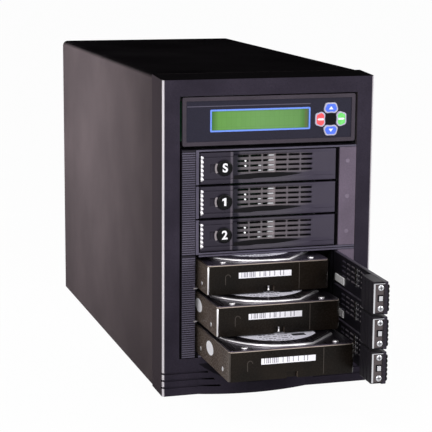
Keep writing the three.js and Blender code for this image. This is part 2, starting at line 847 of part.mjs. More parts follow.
function makeRackFrame(bottom) {
  const top = bottom + rackHeight;
  const body = block([rackLeft, rackRight], [0, frameDepth], [bottom, top]);
  const inside = [bottom + rackRail, top - rackRail];
  const cutters = [
    block([stileLeftEdge, stileRightEdge], [-overrun, frameDepth + overrun], inside),
    block([stileRightEdge - overrun, rackRight + overrun], [-overrun, stripThickness + seat], inside),
    barUp(knuckleBore, [hingeAxisX, hingeAxisDepth], [bottom + seat, top - seat], pinFacets),
  ];
  const seam = rackLeft + ribStripWidth;
  cutters.push(block([seam, seam + seamWidth], [-overrun, ribDepth], [bottom - overrun, top + overrun]));
  const ribCount = Math.floor(rackHeight / ribPitch);
  for (let rib = 0; rib < ribCount; rib += 1) {
    const foot = bottom + (rib + ribLandShare) * ribPitch;
    const groove = (1 - ribLandShare) * ribPitch;
    cutters.push(block([rackLeft - overrun, seam], [-overrun, ribDepth], [foot, foot + groove]));
  }
  const notchBack = hingeAxisDepth + boltLine + boltWidth / 2 + slip;
  for (let row = 0; row < doorRows; row += 1) {
    const middle = doorMiddle(bottom, row);
    const heights = [middle - catchNotchHeight / 2, middle + catchNotchHeight / 2];
    const across = [stileLeftEdge - catchNotch, stileLeftEdge + overrun];
    cutters.push(block(across, [-overrun, notchBack], heights));
  }
  return cutAll(body, cutters);
}

function makeIndicatorStrip(bottom) {
  const heights = [bottom + rackRail + seat, bottom + rackHeight - rackRail - seat];
  return block([stileRightEdge, rackRight], [0, stripThickness], heights);
}

function makeHingePin(bottom) {
  const heights = [bottom + pinEndPlay, bottom + rackHeight - pinEndPlay];
  return barUp(pinRadius, [hingeAxisX, hingeAxisDepth], heights, pinFacets);
}

function ledgeFoot(rackBottom, row) {
  return rackBottom + rackRail + row * doorPitch;
}

function makeRackCage(bottom) {
  const foot = bottom + seat;
  const depth = [cageFront, backplaneFront - seat];
  const through = [cageFront - overrun, backplaneFront + overrun];
  const half = cageWidth / 2;
  const inner = [foot + cageSheet, foot + cageHeight - cageSheet];
  const body = block([-half, half], depth, [foot, foot + cageHeight]);
  const hollow = cutAll(body, [
    block([cageSheet - half, guideLeft - cageSheet], through, inner),
    block([guideLeft, guideRight], through, inner),
    block([guideRight + cageSheet, half - cageSheet], through, inner),
  ]);
  const ledges = [];
  for (let row = 0; row < doorRows; row += 1) {
    const z = ledgeFoot(bottom, row);
    const heights = [z, z + ledgeThickness];
    ledges.push(block([guideLeft - cageSheet / 2, guideLeft + ledgeWidth], depth, heights));
    ledges.push(block([guideRight - ledgeWidth, guideRight + cageSheet / 2], depth, heights));
  }
  return joinAll([hollow, ...ledges]);
}

function makeBackplane(bottom) {
  const half = cageWidth / 2 - cageSheet;
  const heights = [bottom + rackRail, bottom + rackHeight - rackRail];
  const body = block([-half, half], [backplaneFront, backplaneFront + backplaneThickness], heights);
  const middle = driveLeft + driveWidth / 2;
  const sockets = [];
  for (let row = 0; row < doorRows; row += 1) {
    const z = ledgeFoot(bottom, row) + ledgeThickness + driveFloat + connectorRise;
    const across = [middle - connectorWidth / 2, middle + connectorWidth / 2];
    sockets.push(block(across, [backplaneFront - connectorDepth, backplaneFront], [z, z + connectorHeight]));
  }
  return joinAll([body, ...sockets]);
}

// One door about its hinge axis, closed, with its middle height at zero

function scoopOutline() {
  const run = -doorEndToAxis - doorSeam;
  const floor = scoopRunShares.map((share, place) => [
    doorSeam + share * run,
    doorFace + scoopDepth * scoopSinkShares[place],
  ]);
  const last = floor[floor.length - 1][0];
  return outlineOf([[doorSeam, doorFace - overrun], ...floor, [last, doorFace - overrun]]);
}

function gripOutline() {
  const shape = new THREE.Shape();
  const bump = gripHeight / gripScallops / 2;
  const root = doorFace + gripBump;
  shape.moveTo(root, -gripHeight / 2);
  for (let scallop = 0; scallop < gripScallops; scallop += 1) {
    const middle = -gripHeight / 2 + (2 * scallop + 1) * bump;
    shape.absellipse(doorFace, middle, gripBump, bump, -Math.PI / 2, -1.5 * Math.PI, true);
  }
  shape.lineTo(root, gripHeight / 2);
  shape.closePath();
  return shape;
}

function grilleSlots() {
  const slots = [];
  for (let column = 0; column < slotColumns; column += 1) {
    const left = doorSeam + slotStart + column * slotColumnPitch;
    for (let row = 0; row < slotRows; row += 1) {
      const middle = slotRise + (row - (slotRows - 1) / 2) * slotRowPitch;
      const heights = [middle - slotHeight / 2, middle + slotHeight / 2];
      slots.push(block([left, left + slotWidth], [doorFace - overrun, doorBack + overrun], heights));
    }
  }
  return slots;
}

function endPlateDepth() {
  const back = doorFace + latchDepth - endPlateMargin;
  return [back - endPlateWidth, back];
}

function makeDoor() {
  const half = doorHeight / 2;
  const end = -doorReach;
  const plateEnd = -doorEndToAxis;
  const plan = new THREE.Shape();
  plan.moveTo(plateEnd, doorBack);
  plan.lineTo(end, doorBack);
  plan.absarc(end + doorEdgeRadius, doorFace + doorEdgeRadius, doorEdgeRadius, Math.PI, 1.5 * Math.PI, false);
  plan.absarc(plateEnd - doorEdgeRadius, doorFace + doorEdgeRadius, doorEdgeRadius, -Math.PI / 2, 0, false);
  plan.closePath();
  const boxBack = doorFace + latchDepth;
  const [plateFront, plateBack] = endPlateDepth();
  const platePocket = endPlateHeight / 2 + seat;
  const roomHalf = latchRoomHeight / 2;
  const stemHalf = latchStem / 2 + seat;
  const stemAcross = [discX - stemHalf, discX + stemHalf + latchTravel];
  const grooveZ = latchGroovePlaceShare * half;
  const pocketAcross = [end - overrun, end + endPlateThickness + seat];
  const pocketDepth = [plateFront - seat, plateBack + seat];
  const roomAcross = [end, doorSeam - latchWall];
  const roomDepth = [doorFace + latchFaceWall, boxBack - latchWall];
  const parts = [
    prismUp(plan, [-half, half], smallCornerFacets),
    block([plateEnd - doorEdgeRadius, 0], [-latchGroove, doorBack], [-half, half]),
    barUp(knuckleRadius, [0, 0], [-half, half], pinFacets),
    block([end, doorSeam], [doorBack - seat, boxBack], [seat - half, half - seat]),
    prismRight(gripOutline(), [end, end + gripWidth], smallCornerFacets),
  ];
  const cutters = [
    prismUp(scoopOutline(), [-scoopHeight / 2, scoopHeight / 2]),
    ...grilleSlots(),
    block(pocketAcross, pocketDepth, [-platePocket, platePocket]),
    block(roomAcross, roomDepth, [-roomHalf, roomHalf]),
    block(stemAcross, [doorFace - overrun, boltLine], [-stemHalf, stemHalf]),
    barBack(thumbRadius, [discX - thumbShift, 0], [doorFace - overrun, doorFace + thumbDepth]),
    barUp(knuckleBore, [0, 0], [-half - overrun, half + overrun], pinFacets),
  ];
  const grooveDepth = [doorFace - overrun, doorFace + latchGroove];
  for (const z of [-grooveZ, grooveZ]) {
    const across = [end + gripWidth, doorSeam];
    cutters.push(block(across, grooveDepth, [z - latchGroove / 2, z + latchGroove / 2]));
  }
  const keyhole = doorSeam - keyholeFromSeam;
  const tall = keyholeHeight / 2;
  cutters.push(block([keyhole - keyholeWidth / 2, keyhole + keyholeWidth / 2], grooveDepth, [-tall, tall]));
  return cutAll(joinAll(parts), cutters);
}

function makeEndPlate() {
  const half = endPlateHeight / 2;
  const plate = block([-doorReach, endPlateThickness - doorReach], endPlateDepth(), [-half, half]);
  const holeWide = boltWidth / 2 + seat;
  const holeTall = boltHeight / 2 + seat;
  const through = [-doorReach - overrun, endPlateThickness + overrun - doorReach];
  return plate.subtract(block(through, [boltLine - holeWide, boltLine + holeWide], [-holeTall, holeTall]));
}

// The round thumb button, its stem, its bar inside the door and the catch at the door's free end
function makeLatch() {
  const front = doorFace - seat - discThickness;
  const button = barBack(discRadius, [discX, 0], [front, doorFace - seat]);
  const stem = latchStem / 2;
  const barY = [boltLine - latchBarDepth / 2, boltLine + latchBarDepth / 2];
  const barEnd = endPlateThickness + slip - doorReach;
  const bar = block([barEnd, discX + stem], barY, [-latchBarHeight / 2, latchBarHeight / 2]);
  const post = block([discX - stem, discX + stem], [doorFace - slip, boltLine], [-stem, stem]);
  const boltY = [boltLine - boltWidth / 2, boltLine + boltWidth / 2];
  const bolt = block([-doorReach - boltReach, barEnd + slip], boltY, [-boltHeight / 2, boltHeight / 2]);
  return joinAll([button, post, bar, bolt]);
}

// One drive with its front left lower corner at the origin

function driveOutline(inset, radius) {
  return roundedOutline([inset, driveWidth - inset], [inset, driveLength - inset], radius);
}

const castingTop = driveHeight - lidStep - lidThickness - seat;

function makeCasting() {
  const body = prismUp(driveOutline(0, driveCorner), [0, castingTop], smallCornerFacets);
  const middle = driveWidth / 2;
  const back = driveLength + overrun;
  const cutters = [
    block([driveRailWidth, driveWidth - driveRailWidth], [driveFrontLip, back], [-overrun, boardRecess]),
    block(
      [middle - driveNotchWidth / 2, middle + driveNotchWidth / 2],
      [-overrun, driveNotchDepth],
      [-overrun, driveNotchHeight],
    ),
    block(
      [middle - connectorWidth / 2 - slip, middle + connectorWidth / 2 + slip],
      [driveLength - connectorMating - slip, back],
      [-overrun, connectorRise + connectorHeight + slip],
    ),
  ];
  for (const fromRear of sideHoleFromRear) {
    const place = [driveLength - fromRear, sideHoleRise];
    for (const across of [[-overrun, sideHoleDepth], [driveWidth - sideHoleDepth, driveWidth + overrun]]) {
      cutters.push(barRight(sideHoleRadius, place, across, sideHoleFacets));
    }
  }
  return cutAll(body, cutters);
}

// The lid's raised field: round the platters on the left, slanting back to the arm on the right
function lidFieldOutline() {
  const middle = driveWidth / 2;
  const right = driveWidth - lidFieldMargin;
  const back = driveLength - lidFieldMargin;
  const platterY = lidRimInset + lidRimRadius;
  const shape = new THREE.Shape();
  shape.absarc(middle, platterY, lidRimRadius, Math.PI, 1.5 * Math.PI, false);
  shape.lineTo(middle + lidStraight, lidRimInset);
  shape.lineTo(right, lidRimInset + lidSlantDepth);
  shape.lineTo(right, back);
  shape.lineTo(lidFieldMargin, back);
  shape.closePath();
  return shape;
}

function makeLid() {
  const foot = castingTop + seat;
  const top = foot + lidThickness;
  const plate = prismUp(driveOutline(lidInset, driveCorner), [foot, top], smallCornerFacets);
  const field = prismUp(lidFieldOutline(), [foot, top + lidStep], fineFacets);
  return plate.add(field);
}

function makeDriveBoard() {
  const side = driveRailWidth + slip;
  const back = driveLength - driveRearMargin;
  const front = back - driveBoardLengthShare * driveLength;
  const top = boardRecess - seat;
  const foot = top - driveBoardThickness;
  const body = block([side, driveWidth - side], [front, back], [foot, top]);
  const chips = [];
  for (const [acrossShare, alongShare] of driveChipPlaceShares) {
    const x = acrossShare * driveWidth;
    const y = front + alongShare * (back - front);
    chips.push(block([x, x + driveChipSide], [y, y + driveChipSide], [foot - driveChipHeight, foot]));
  }
  return joinAll([body, ...chips]);
}

// The whole machine
const machine = new THREE.Group();

function addPiece(name, solid, finish, parent = machine) {
  parent.add(makePiece(name, solid, finishes[finish]));
}

addPiece('front_bezel', makeBezel(), 'bezel');
addPiece('case_cover', makeCover(), 'cover');
addPiece('floor_pan', makePan(), 'steel');
addPiece('rear_panel', makeRearPanel(), 'cover');
addPiece('bay_cage', makeBayCage(), 'steel');

const footX = halfCase - footInset;
const footPlaces = {
  foot_front_left: [-footX, frontFootPlace],
  foot_front_right: [footX, frontFootPlace],
  foot_rear_left: [-footX, caseDepth - footInset],
  foot_rear_right: [footX, caseDepth - footInset],
};
for (const [name, [x, y]] of Object.entries(footPlaces)) {
  addPiece(name, makeFoot().translate([x, y, 0]), 'rubber');
}

addPiece('power_supply_case', makeSupply(), 'steel');
const supplyFanDepth = [supplyFanFront, supplyBack - supplyWall];
addPiece('power_supply_fan_rotor', makeRotor(supplyFanAxis, supplyFanDepth), 'black');
addPiece('power_inlet', makeInlet(), 'black');
const rocker = new THREE.Group();
rocker.position.set(rockerX, rockerAxleY, rockerZ);
rocker.rotation.x = THREE.MathUtils.degToRad(rockerTilt);
addPiece('power_switch_rocker', makeRocker(), 'black', rocker);
machine.add(rocker);

const exhaustAxis = [exhaustOffset, exhaustHeight];
const exhaustBack = rearInner - seat;
const exhaustFront = exhaustBack - fanDepth;
addPiece('exhaust_fan_frame', makeFanFrame(exhaustAxis, [exhaustFront, exhaustBack]), 'black');
addPiece('exhaust_fan_rotor', makeRotor(exhaustAxis, [exhaustFront + fanArmDepth, exhaustBack]), 'black');

addPiece('control_panel', makeControlPanel(), 'panel');
addPiece('lcd_screen', makeScreen(), 'screen');
addPiece('control_board', makeControlBoard(), 'board');
for (const key of keyPlaces) {
  addPiece(key.name, makeKey(key), key.finish);
}

const racks = [
  { name: 'lower', bottom: bayFloor + rackMargin, openAngle: doorOpenAngle, driveOut },
  { name: 'upper', bottom: bayFloor + rackMargin + rackPitch, openAngle: 0, driveOut: [] },
];
for (const rack of racks) {
  addPiece(`${rack.name}_rack_frame`, makeRackFrame(rack.bottom), 'frame');
  addPiece(`${rack.name}_rack_cage`, makeRackCage(rack.bottom), 'steel');
  addPiece(`${rack.name}_backplane`, makeBackplane(rack.bottom), 'board');
  addPiece(`${rack.name}_indicator_strip`, makeIndicatorStrip(rack.bottom), 'strip');
  addPiece(`${rack.name}_hinge_pin`, makeHingePin(rack.bottom), 'steel');
  for (let row = 0; row < doorRows; row += 1) {
    const hinge = new THREE.Group();
    hinge.position.set(hingeAxisX, hingeAxisDepth, doorMiddle(rack.bottom, row));
    hinge.rotation.z = THREE.MathUtils.degToRad(rack.openAngle);
    addPiece(`${rack.name}_door_${row + 1}`, makeDoor(), 'door', hinge);
    addPiece(`${rack.name}_door_end_plate_${row + 1}`, makeEndPlate(), 'plate', hinge);
    addPiece(`${rack.name}_door_latch_${row + 1}`, makeLatch(), 'latch', hinge);
    machine.add(hinge);
  }
  rack.driveOut.forEach((out, row) => {
    const bay = new THREE.Group();
    bay.position.set(driveLeft, -out, ledgeFoot(rack.bottom, row) + ledgeThickness + driveFloat);
    addPiece(`drive_${row + 1}_casting`, makeCasting(), 'casting', bay);
    addPiece(`drive_${row + 1}_lid`, makeLid(), 'lid', bay);
    addPiece(`drive_${row + 1}_board`, makeDriveBoard(), 'board', bay);
    machine.add(bay);
  });
}

// The origin goes under the middle of everything
const whole = new THREE.Box3().setFromObject(machine, true);
machine.position.set(-(whole.min.x + whole.max.x) / 2, -(whole.min.y + whole.max.y) / 2, -whole.min.z);

export default machine;
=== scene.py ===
import functools
import json
import math

import bmesh
import bpy
from mathutils import Matrix, Vector


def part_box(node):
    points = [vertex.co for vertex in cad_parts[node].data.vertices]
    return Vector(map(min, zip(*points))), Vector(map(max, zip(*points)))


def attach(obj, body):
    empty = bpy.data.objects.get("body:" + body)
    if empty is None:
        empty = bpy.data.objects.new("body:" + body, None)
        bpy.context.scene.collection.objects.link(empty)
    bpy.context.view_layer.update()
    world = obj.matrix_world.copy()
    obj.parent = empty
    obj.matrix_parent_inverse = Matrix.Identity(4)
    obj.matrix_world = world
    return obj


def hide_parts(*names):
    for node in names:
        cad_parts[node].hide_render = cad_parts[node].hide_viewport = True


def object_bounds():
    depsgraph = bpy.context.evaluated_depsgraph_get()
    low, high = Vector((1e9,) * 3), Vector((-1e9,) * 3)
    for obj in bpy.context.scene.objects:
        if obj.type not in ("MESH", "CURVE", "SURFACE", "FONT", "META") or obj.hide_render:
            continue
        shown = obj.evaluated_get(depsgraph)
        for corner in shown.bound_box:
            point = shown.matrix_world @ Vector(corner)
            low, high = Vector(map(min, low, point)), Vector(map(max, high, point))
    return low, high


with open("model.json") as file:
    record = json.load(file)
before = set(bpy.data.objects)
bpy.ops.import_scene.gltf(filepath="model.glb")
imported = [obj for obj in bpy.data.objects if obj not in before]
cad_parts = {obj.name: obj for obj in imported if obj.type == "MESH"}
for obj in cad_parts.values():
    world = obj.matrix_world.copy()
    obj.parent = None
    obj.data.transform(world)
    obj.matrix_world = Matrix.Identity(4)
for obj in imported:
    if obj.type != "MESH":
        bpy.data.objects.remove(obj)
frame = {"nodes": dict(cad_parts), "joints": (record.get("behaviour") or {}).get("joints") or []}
cad_low, cad_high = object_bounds()

# Studio
# A white floor that runs into a white backdrop, with a broad soft lamp at the left front, a weaker one
# at the right, a small one beside the left wall and one above the drives. The camera stands left of the
# front. Lamps and camera are placed in metres.

mm = 0.001
frame_pixels = 432
focal_pixels = 1534.14
sensor_width = 36
camera_place = Vector((-0.39265, -1.28497, 0.37460))
camera_yaw = -0.295
camera_pitch = 0.188
camera_roll = 0.007
camera_reach = 20
room_light = 0.4
floor_white = 0.97
floor_reach = 8000
centre = (cad_low + cad_high) / 2


def add_object(name, data):
    """Puts a new object into the scene."""
    thing = bpy.data.objects.new(name, data)
    bpy.context.collection.objects.link(thing)
    return thing


def aim(place, forward, up):
    """The matrix of a camera or lamp that stands at a place and looks along a direction."""
    right = forward.cross(up).normalized()
    matrix = Matrix((right, right.cross(forward), -forward)).transposed().to_4x4()
    matrix.translation = place
    return matrix


camera = add_object("camera", bpy.data.cameras.new("camera"))
level = Vector((-math.sin(camera_yaw), math.cos(camera_yaw), 0))
ahead = level * math.cos(camera_pitch) - Vector((0, 0, math.sin(camera_pitch)))
upright = Matrix.Rotation(-camera_roll, 3, ahead) @ Vector((0, 0, 1))
camera.matrix_world = aim(camera_place, ahead, upright)
camera.data.sensor_width = sensor_width
camera.data.lens = focal_pixels / frame_pixels * sensor_width
camera.data.clip_end = camera_reach
bpy.context.scene.camera = camera
bpy.context.scene.view_settings.view_transform = "Standard"


def hang_lamp(name, place, width, height, watts, target=centre, spread=180):
    """A soft rectangular lamp that looks at the machine, with a grid that narrows its beam."""
    data = bpy.data.lights.new(name, "AREA")
    data.shape = "RECTANGLE"
    data.size = width
    data.size_y = height
    data.energy = watts
    data.spread = math.radians(spread)
    lamp = add_object(name, data)
    lamp.matrix_world = aim(Vector(place), (target - Vector(place)).normalized(), Vector((0, 0, 1)))


hang_lamp("key_lamp", (-1.0, -1.9, 0.9), 1.2, 0.9, 23)
hang_lamp("right_lamp", (1.3, -1.7, 0.7), 0.8, 0.8, 14)
hang_lamp("side_lamp", (-0.8, 0.05, 0.40), 0.3, 0.2, 0.6, Vector((-0.09, 0.15, 0.2)), 38)
hang_lamp("top_lamp", (-0.15, -0.5, 1.35), 0.5, 0.5, 4.5, Vector((0, -0.2, 0.08)))


def linear(code):
    """Turns an sRGB hex colour into linear values."""
    shares = [(code >> shift & 255) / 255 for shift in (16, 8, 0)]
    return tuple(s / 12.92 if s <= 0.04045 else ((s + 0.055) / 1.055) ** 2.4 for s in shares) + (1.0,)


def add_node(tree, kind, inputs=(), stops=(), **settings):
    """Adds a node with its settings, its ramp stops, and its values or links.

    A kind in capitals is a sum by that name, a Mix mixes colours, and a Principled shader is the surface.
    """
    node = tree.nodes.new("ShaderNode" + ("Math" if kind.isupper() else kind))
    if kind.isupper():
        node.operation = kind
    elif kind == "Mix":
        node.data_type = "RGBA"
    elif kind == "BsdfPrincipled":
        add_node(tree, "OutputMaterial", {"Surface": node})
    for name, value in settings.items():
        setattr(node, name, value)
    for spot, (position, colour) in enumerate(stops):
        ramp = node.color_ramp.elements
        if spot >= len(ramp):
            ramp.new(position)
        ramp[spot].position = position
        ramp[spot].color = linear(colour)
    for name, value in dict(inputs).items():
        if isinstance(value, bpy.types.Node):
            value = value.outputs[2 if value.type == "MIX" else 0]
        if isinstance(value, bpy.types.NodeSocket):
            tree.links.new(value, node.inputs[name])
        else:
            node.inputs[name].default_value = value
    return node


def empty_tree(owner):
    """Clears the tree of a material or world, and gives the call that adds nodes to it."""
    owner.use_nodes = True
    owner.node_tree.nodes.clear()
    return functools.partial(add_node, owner.node_tree)


def new_finish(name):
    """An empty material, with the call that adds its nodes, and the place of each point on the piece."""
    material = bpy.data.materials.new(name)
    add = empty_tree(material)
    return material, add, add("TexCoord").outputs["Object"]


def backdrop_rays(add):
    """Tells the rays that see the white backdrop: the camera's, and those in metal and glass."""
    path = add("LightPath")
    through = add("MAXIMUM", {0: path.outputs["Is Glossy Ray"], 1: path.outputs["Is Transmission Ray"]})
    return add("MAXIMUM", {0: path.outputs["Is Camera Ray"], 1: through})


def every(size):
    """The scale of a pattern whose features are a size in millimetres."""
    return 1 / (size * mm)


def as_mesh(work, name):
    """Turns finished work in millimetres into a mesh in metres."""
    mesh = bpy.data.meshes.new(name)
    work.to_mesh(mesh)
    work.free()
    mesh.transform(Matrix.Scale(mm, 4))
    return mesh


world = bpy.data.worlds.new("studio")
bpy.context.scene.world = world
add = empty_tree(world)
soft_room = add("Background", {"Color": linear(0xe8e8ec), "Strength": room_light})
white = add("Background", {"Color": (1, 1, 1, 1), "Strength": 1.0})
blend = add("MixShader", {0: backdrop_rays(add), 1: soft_room, 2: white})
add("OutputWorld", {"Surface": blend})

floor_paper, add, _ = new_finish("white_paper_sweep")
grain = add("TexNoise", {"Scale": every(3), "Detail": 2.0})
tone = add("ValToRGB", {"Fac": grain}, stops=[(0.3, 0xf0f0f0), (0.7, 0xf8f8f8)])
paper = add("BsdfDiffuse", {"Color": tone})
glow = add("Emission", {"Color": (1, 1, 1, 1), "Strength": 1.0})
share = add("MULTIPLY", {0: backdrop_rays(add), 1: floor_white})
blend = add("MixShader", {0: share, 1: paper, 2: glow})
add("OutputMaterial", {"Surface": blend})
sheet = bmesh.new()
bmesh.ops.create_grid(sheet, x_segments=1, y_segments=1, size=floor_reach)
floor = add_object("floor", as_mesh(sheet, "floor"))
floor.data.materials.append(floor_paper)

# Case cover and rear panel
# One sheet of mild steel folded over the top and both sides, and a punched panel of the same sheet at
# the back, both sprayed and baked. The roof is drawn in the deep black that the photo gives it, which is
# painted shade on the one film, and the walls in the charcoal of their satin film, with a faint orange peel.


def soften(piece, width):
    """Rounds the edges of a piece a little, so that they catch the light."""
    bevel = piece.modifiers.new("edges", "BEVEL")
    bevel.width = width * mm
    bevel.segments = 2
    bevel.limit_method = "ANGLE"
    bevel.angle_limit = math.radians(35)


def finish_node(name, material, edge=0.0):
    """Gives a CAD node its finish and its rounded edges."""
    node = frame["nodes"][name]
    node.data.materials.clear()
    node.data.materials.append(material)
    if edge:
        soften(node, edge)


case_paint, add, place = new_finish("satin_black_enamel")
peel = add("TexNoise", {"Vector": place, "Scale": every(2.5), "Detail": 1.5, "Roughness": 0.4})
cloud = add("TexNoise", {"Vector": place, "Scale": every(70), "Detail": 3.0})
wall_tone = add("ValToRGB", {"Fac": cloud}, stops=[(0.35, 0x474042), (0.7, 0x50484a)])
# The roof's deeper black is painted shade on the same film as the walls.
roof_tone = add("ValToRGB", {"Fac": cloud}, stops=[(0.35, 0x090809), (0.7, 0x0f0e0f)])
facing = add("SeparateXYZ", {"Vector": add("NewGeometry").outputs["Normal"]})
is_roof = add("MapRange", {"Value": facing.outputs["Z"], "From Min": 0.3, "From Max": 0.8})
tone = add("Mix", {0: is_roof, 6: wall_tone, 7: roof_tone})
satin = add("MapRange", {"Value": cloud, "To Min": 0.45, "To Max": 0.55})
relief = add("Bump", {"Height": peel, "Distance": 0.02 * mm, "Strength": 0.6})
add("BsdfPrincipled", {
    "Base Color": tone, "Roughness": satin, "Normal": relief, "Specular IOR Level": 0.0})
finish_node("case_cover", case_paint, 0.35)
finish_node("rear_panel", case_paint, 0.2)

# Floor pan, bay cage, rack cages, supply case and hinge pins
# Zinc-plated mild steel sheet, cut and folded, and left bare. Zinc gives it a pale cool grey with faint
# streaks along the rolling direction. The pins are drawn steel rod, blackened in oil.


def rolled_metal(name, colour, dark, roughness, streak):
    """Rolled metal: long fine streaks of the given width along Y, and a soft clouding."""
    material, add, place = new_finish(name)
    stretch = add("Mapping", {"Vector": place, "Scale": (1, 0.04, 1)})
    lines = add("TexNoise", {"Vector": stretch, "Scale": every(streak), "Detail": 2.0})
    cloud = add("TexNoise", {"Vector": place, "Scale": every(25), "Detail": 3.0})
    tone = add("ValToRGB", {"Fac": cloud}, stops=[(0.3, dark), (0.7, colour)])
    dull = add("MapRange", {"Value": lines, "To Min": roughness - 0.06, "To Max": roughness + 0.1})
    relief = add("Bump", {"Height": lines, "Distance": 0.01 * mm, "Strength": 0.7})
    add("BsdfPrincipled", {
        "Base Color": tone, "Metallic": 1.0, "Roughness": dull, "Normal": relief})
    return material


zinc_sheet = rolled_metal("zinc_plated_steel", 0xb9bbbd, 0x9fa2a6, 0.36, 1.2)
for name in ("floor_pan", "bay_cage", "power_supply_case"):
    finish_node(name, zinc_sheet, 0.15)
pin_steel = rolled_metal("blackened_pin_steel", 0x1c1b1d, 0x121113, 0.5, 0.6)
for rack in ("lower", "upper"):
    finish_node(rack + "_rack_cage", zinc_sheet)
    finish_node(rack + "_hinge_pin", pin_steel)

# Feet
# Four round pads of moulded nitrile rubber, each glued and screwed under a corner of the pan. Rubber is
# matt and nearly black, and a little dust lies in its grain.

foot_rubber, add, place = new_finish("moulded_rubber")
dust = add("TexNoise", {"Vector": place, "Scale": every(2), "Detail": 4.0})
tone = add("ValToRGB", {"Fac": dust}, stops=[(0.4, 0x1b1b1c), (0.75, 0x2c2b2b)])
relief = add("Bump", {"Height": dust, "Distance": 0.05 * mm, "Strength": 0.6})
add("BsdfPrincipled", {"Base Color": tone, "Roughness": 0.85, "Normal": relief})
for corner in ("front_left", "front_right", "rear_left", "rear_right"):
    finish_node("foot_" + corner, foot_rubber, 0.4)

# Front bezel
# One injection moulding in black ABS with the chin and its grooves. The tool was spark-eroded, so the
# skin is satin with a fine even grain. The flanks are painted lighter and the top darker, as painted
# light and shade, and a pale painted highlight lies on the two long front corners and faintly on the
# right strip.

# The pale painted highlight lies beyond these widths from the middle, and faintly on the right strip.
edge_band = 84
right_strip = 86.6
strip_wear = 0.3


def moulded_abs(name, colour, light, roughness=0.42, grain=1.1, depth=0.03, gloss=0.2, shade=None):
    """Satin ABS. The real grain is about 0.1 mm, and it is drawn coarser so that it shows."""
    material, add, place = new_finish(name)
    skin = add("TexNoise", {"Vector": place, "Scale": every(grain), "Detail": 3.0, "Roughness": 0.65})
    cloud = add("TexNoise", {"Vector": place, "Scale": every(30), "Detail": 2.0})
    both = add("MULTIPLY", {0: skin, 1: cloud})
    tone = add("ValToRGB", {"Fac": both}, stops=[(0.12, colour), (0.42, light)])
    if shade:
        tone = shade(add, place, tone)
    satin = add("MapRange", {"Value": skin, "To Min": roughness - 0.07, "To Max": roughness + 0.07})
    relief = add("Bump", {"Height": skin, "Distance": depth * mm, "Strength": 0.7})
    add("BsdfPrincipled", {
        "Base Color": tone, "Roughness": satin, "Normal": relief, "Specular IOR Level": gloss, "IOR": 1.53})
    return material


def worn_edges(add, place, tone):
    """Painted light and shade: lighter flanks, a dark top, a pale highlight on the long front corners."""
    across = add("SeparateXYZ", {"Vector": place})
    facing = add("SeparateXYZ", {"Vector": add("NewGeometry").outputs["Normal"]})
    corner = add("MULTIPLY", {0: facing, 1: facing.outputs["Y"]})
    corner = add("ABSOLUTE", {0: corner})
    side = add("ABSOLUTE", {0: across})
    outer = add("GREATER_THAN", {0: side, 1: edge_band * mm})
    corner = add("MULTIPLY", {0: corner, 1: outer})
    worn = add("MapRange", {"Value": corner, "From Min": 0.2, "From Max": 0.4})
    forward = add("LESS_THAN", {0: facing.outputs["Y"], 1: -0.5})
    right = add("GREATER_THAN", {0: across, 1: right_strip * mm})
    strip = add("MULTIPLY", {0: forward, 1: right})
    strip = add("MULTIPLY", {0: strip, 1: strip_wear})
    wear = add("MAXIMUM", {0: worn, 1: strip})
    flank = add("ABSOLUTE", {0: facing})
    flank = add("MapRange", {"Value": flank, "From Min": 0.8, "From Max": 0.95})
    upward = add("MapRange", {"Value": facing.outputs["Z"], "From Min": 0.25, "From Max": 0.5})
    # Painted light on the flanks, painted shade on the top, and the pale painted highlight.
    for part, colour in ((flank, 0x423b3f), (upward, 0x0d0c0d), (wear, 0xd0cacf)):
        tone = add("Mix", {0: part, 6: tone, 7: linear(colour)})
    return tone


bezel_abs = moulded_abs("black_bezel_abs", 0x2b2730, 0x37323d, 0.45, gloss=0.0, shade=worn_edges)
finish_node("front_bezel", bezel_abs, 0.6)

# Control panel
# A black moulding with a raised rim. Inside the rim lies a printed polyester overlay, nearly black with
# a blue cast, with a fine grey rule and a blue frame round the display window.

to_front = Matrix.Rotation(math.radians(90), 4, "X")


def shift(x, y, z):
    """The matrix of a move in millimetres."""
    return Matrix.Translation((x * mm, y * mm, z * mm))


def box_of(name):
    """A CAD node's lowest and highest corners, in millimetres."""
    return [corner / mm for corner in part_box(name)]


def settle(piece, body, nodes=()):
    """Fixes a piece to its body, and hides the CAD nodes it stands for."""
    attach(piece, body)
    if nodes:
        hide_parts(*nodes)


def flat_plate(name, outlines, y, thickness, material, body, bevel=0.0, nodes=()):
    """A flat plate that faces the front, cut from outlines in X and Z: the first outside, others holes."""
    curve = bpy.data.curves.new(name, "CURVE")
    curve.dimensions = "2D"
    curve.fill_mode = "BOTH"
    curve.extrude = (thickness / 2 - bevel) * mm
    curve.bevel_depth = bevel * mm
    curve.bevel_resolution = 2
    for outline in outlines:
        spline = curve.splines.new("POLY")
        spline.points.add(len(outline) - 1)
        for point, (x, z) in zip(spline.points, outline):
            point.co = (x * mm, z * mm, 0, 1)
        spline.use_cyclic_u = True
    curve.materials.append(material)
    piece = add_object(name, curve)
    piece.matrix_world = shift(0, y + thickness / 2, 0) @ to_front
    settle(piece, body, nodes)


def rounded_rectangle(sides, radius, inside=0.0):
    """The points of a rectangle with round corners, moved inwards from its left, right, low and high."""
    steps = 5
    left, right, low, high = sides
    reach = radius + inside
    points = []
    for x, z, start in ((right - reach, low + reach, -90), (right - reach, high - reach, 0),
                        (left + reach, high - reach, 90), (left + reach, low + reach, 180)):
        for step in range(steps + 1):
            angle = math.radians(start + 90 * step / steps)
            points.append((x + radius * math.cos(angle), z + radius * math.sin(angle)))
    return points


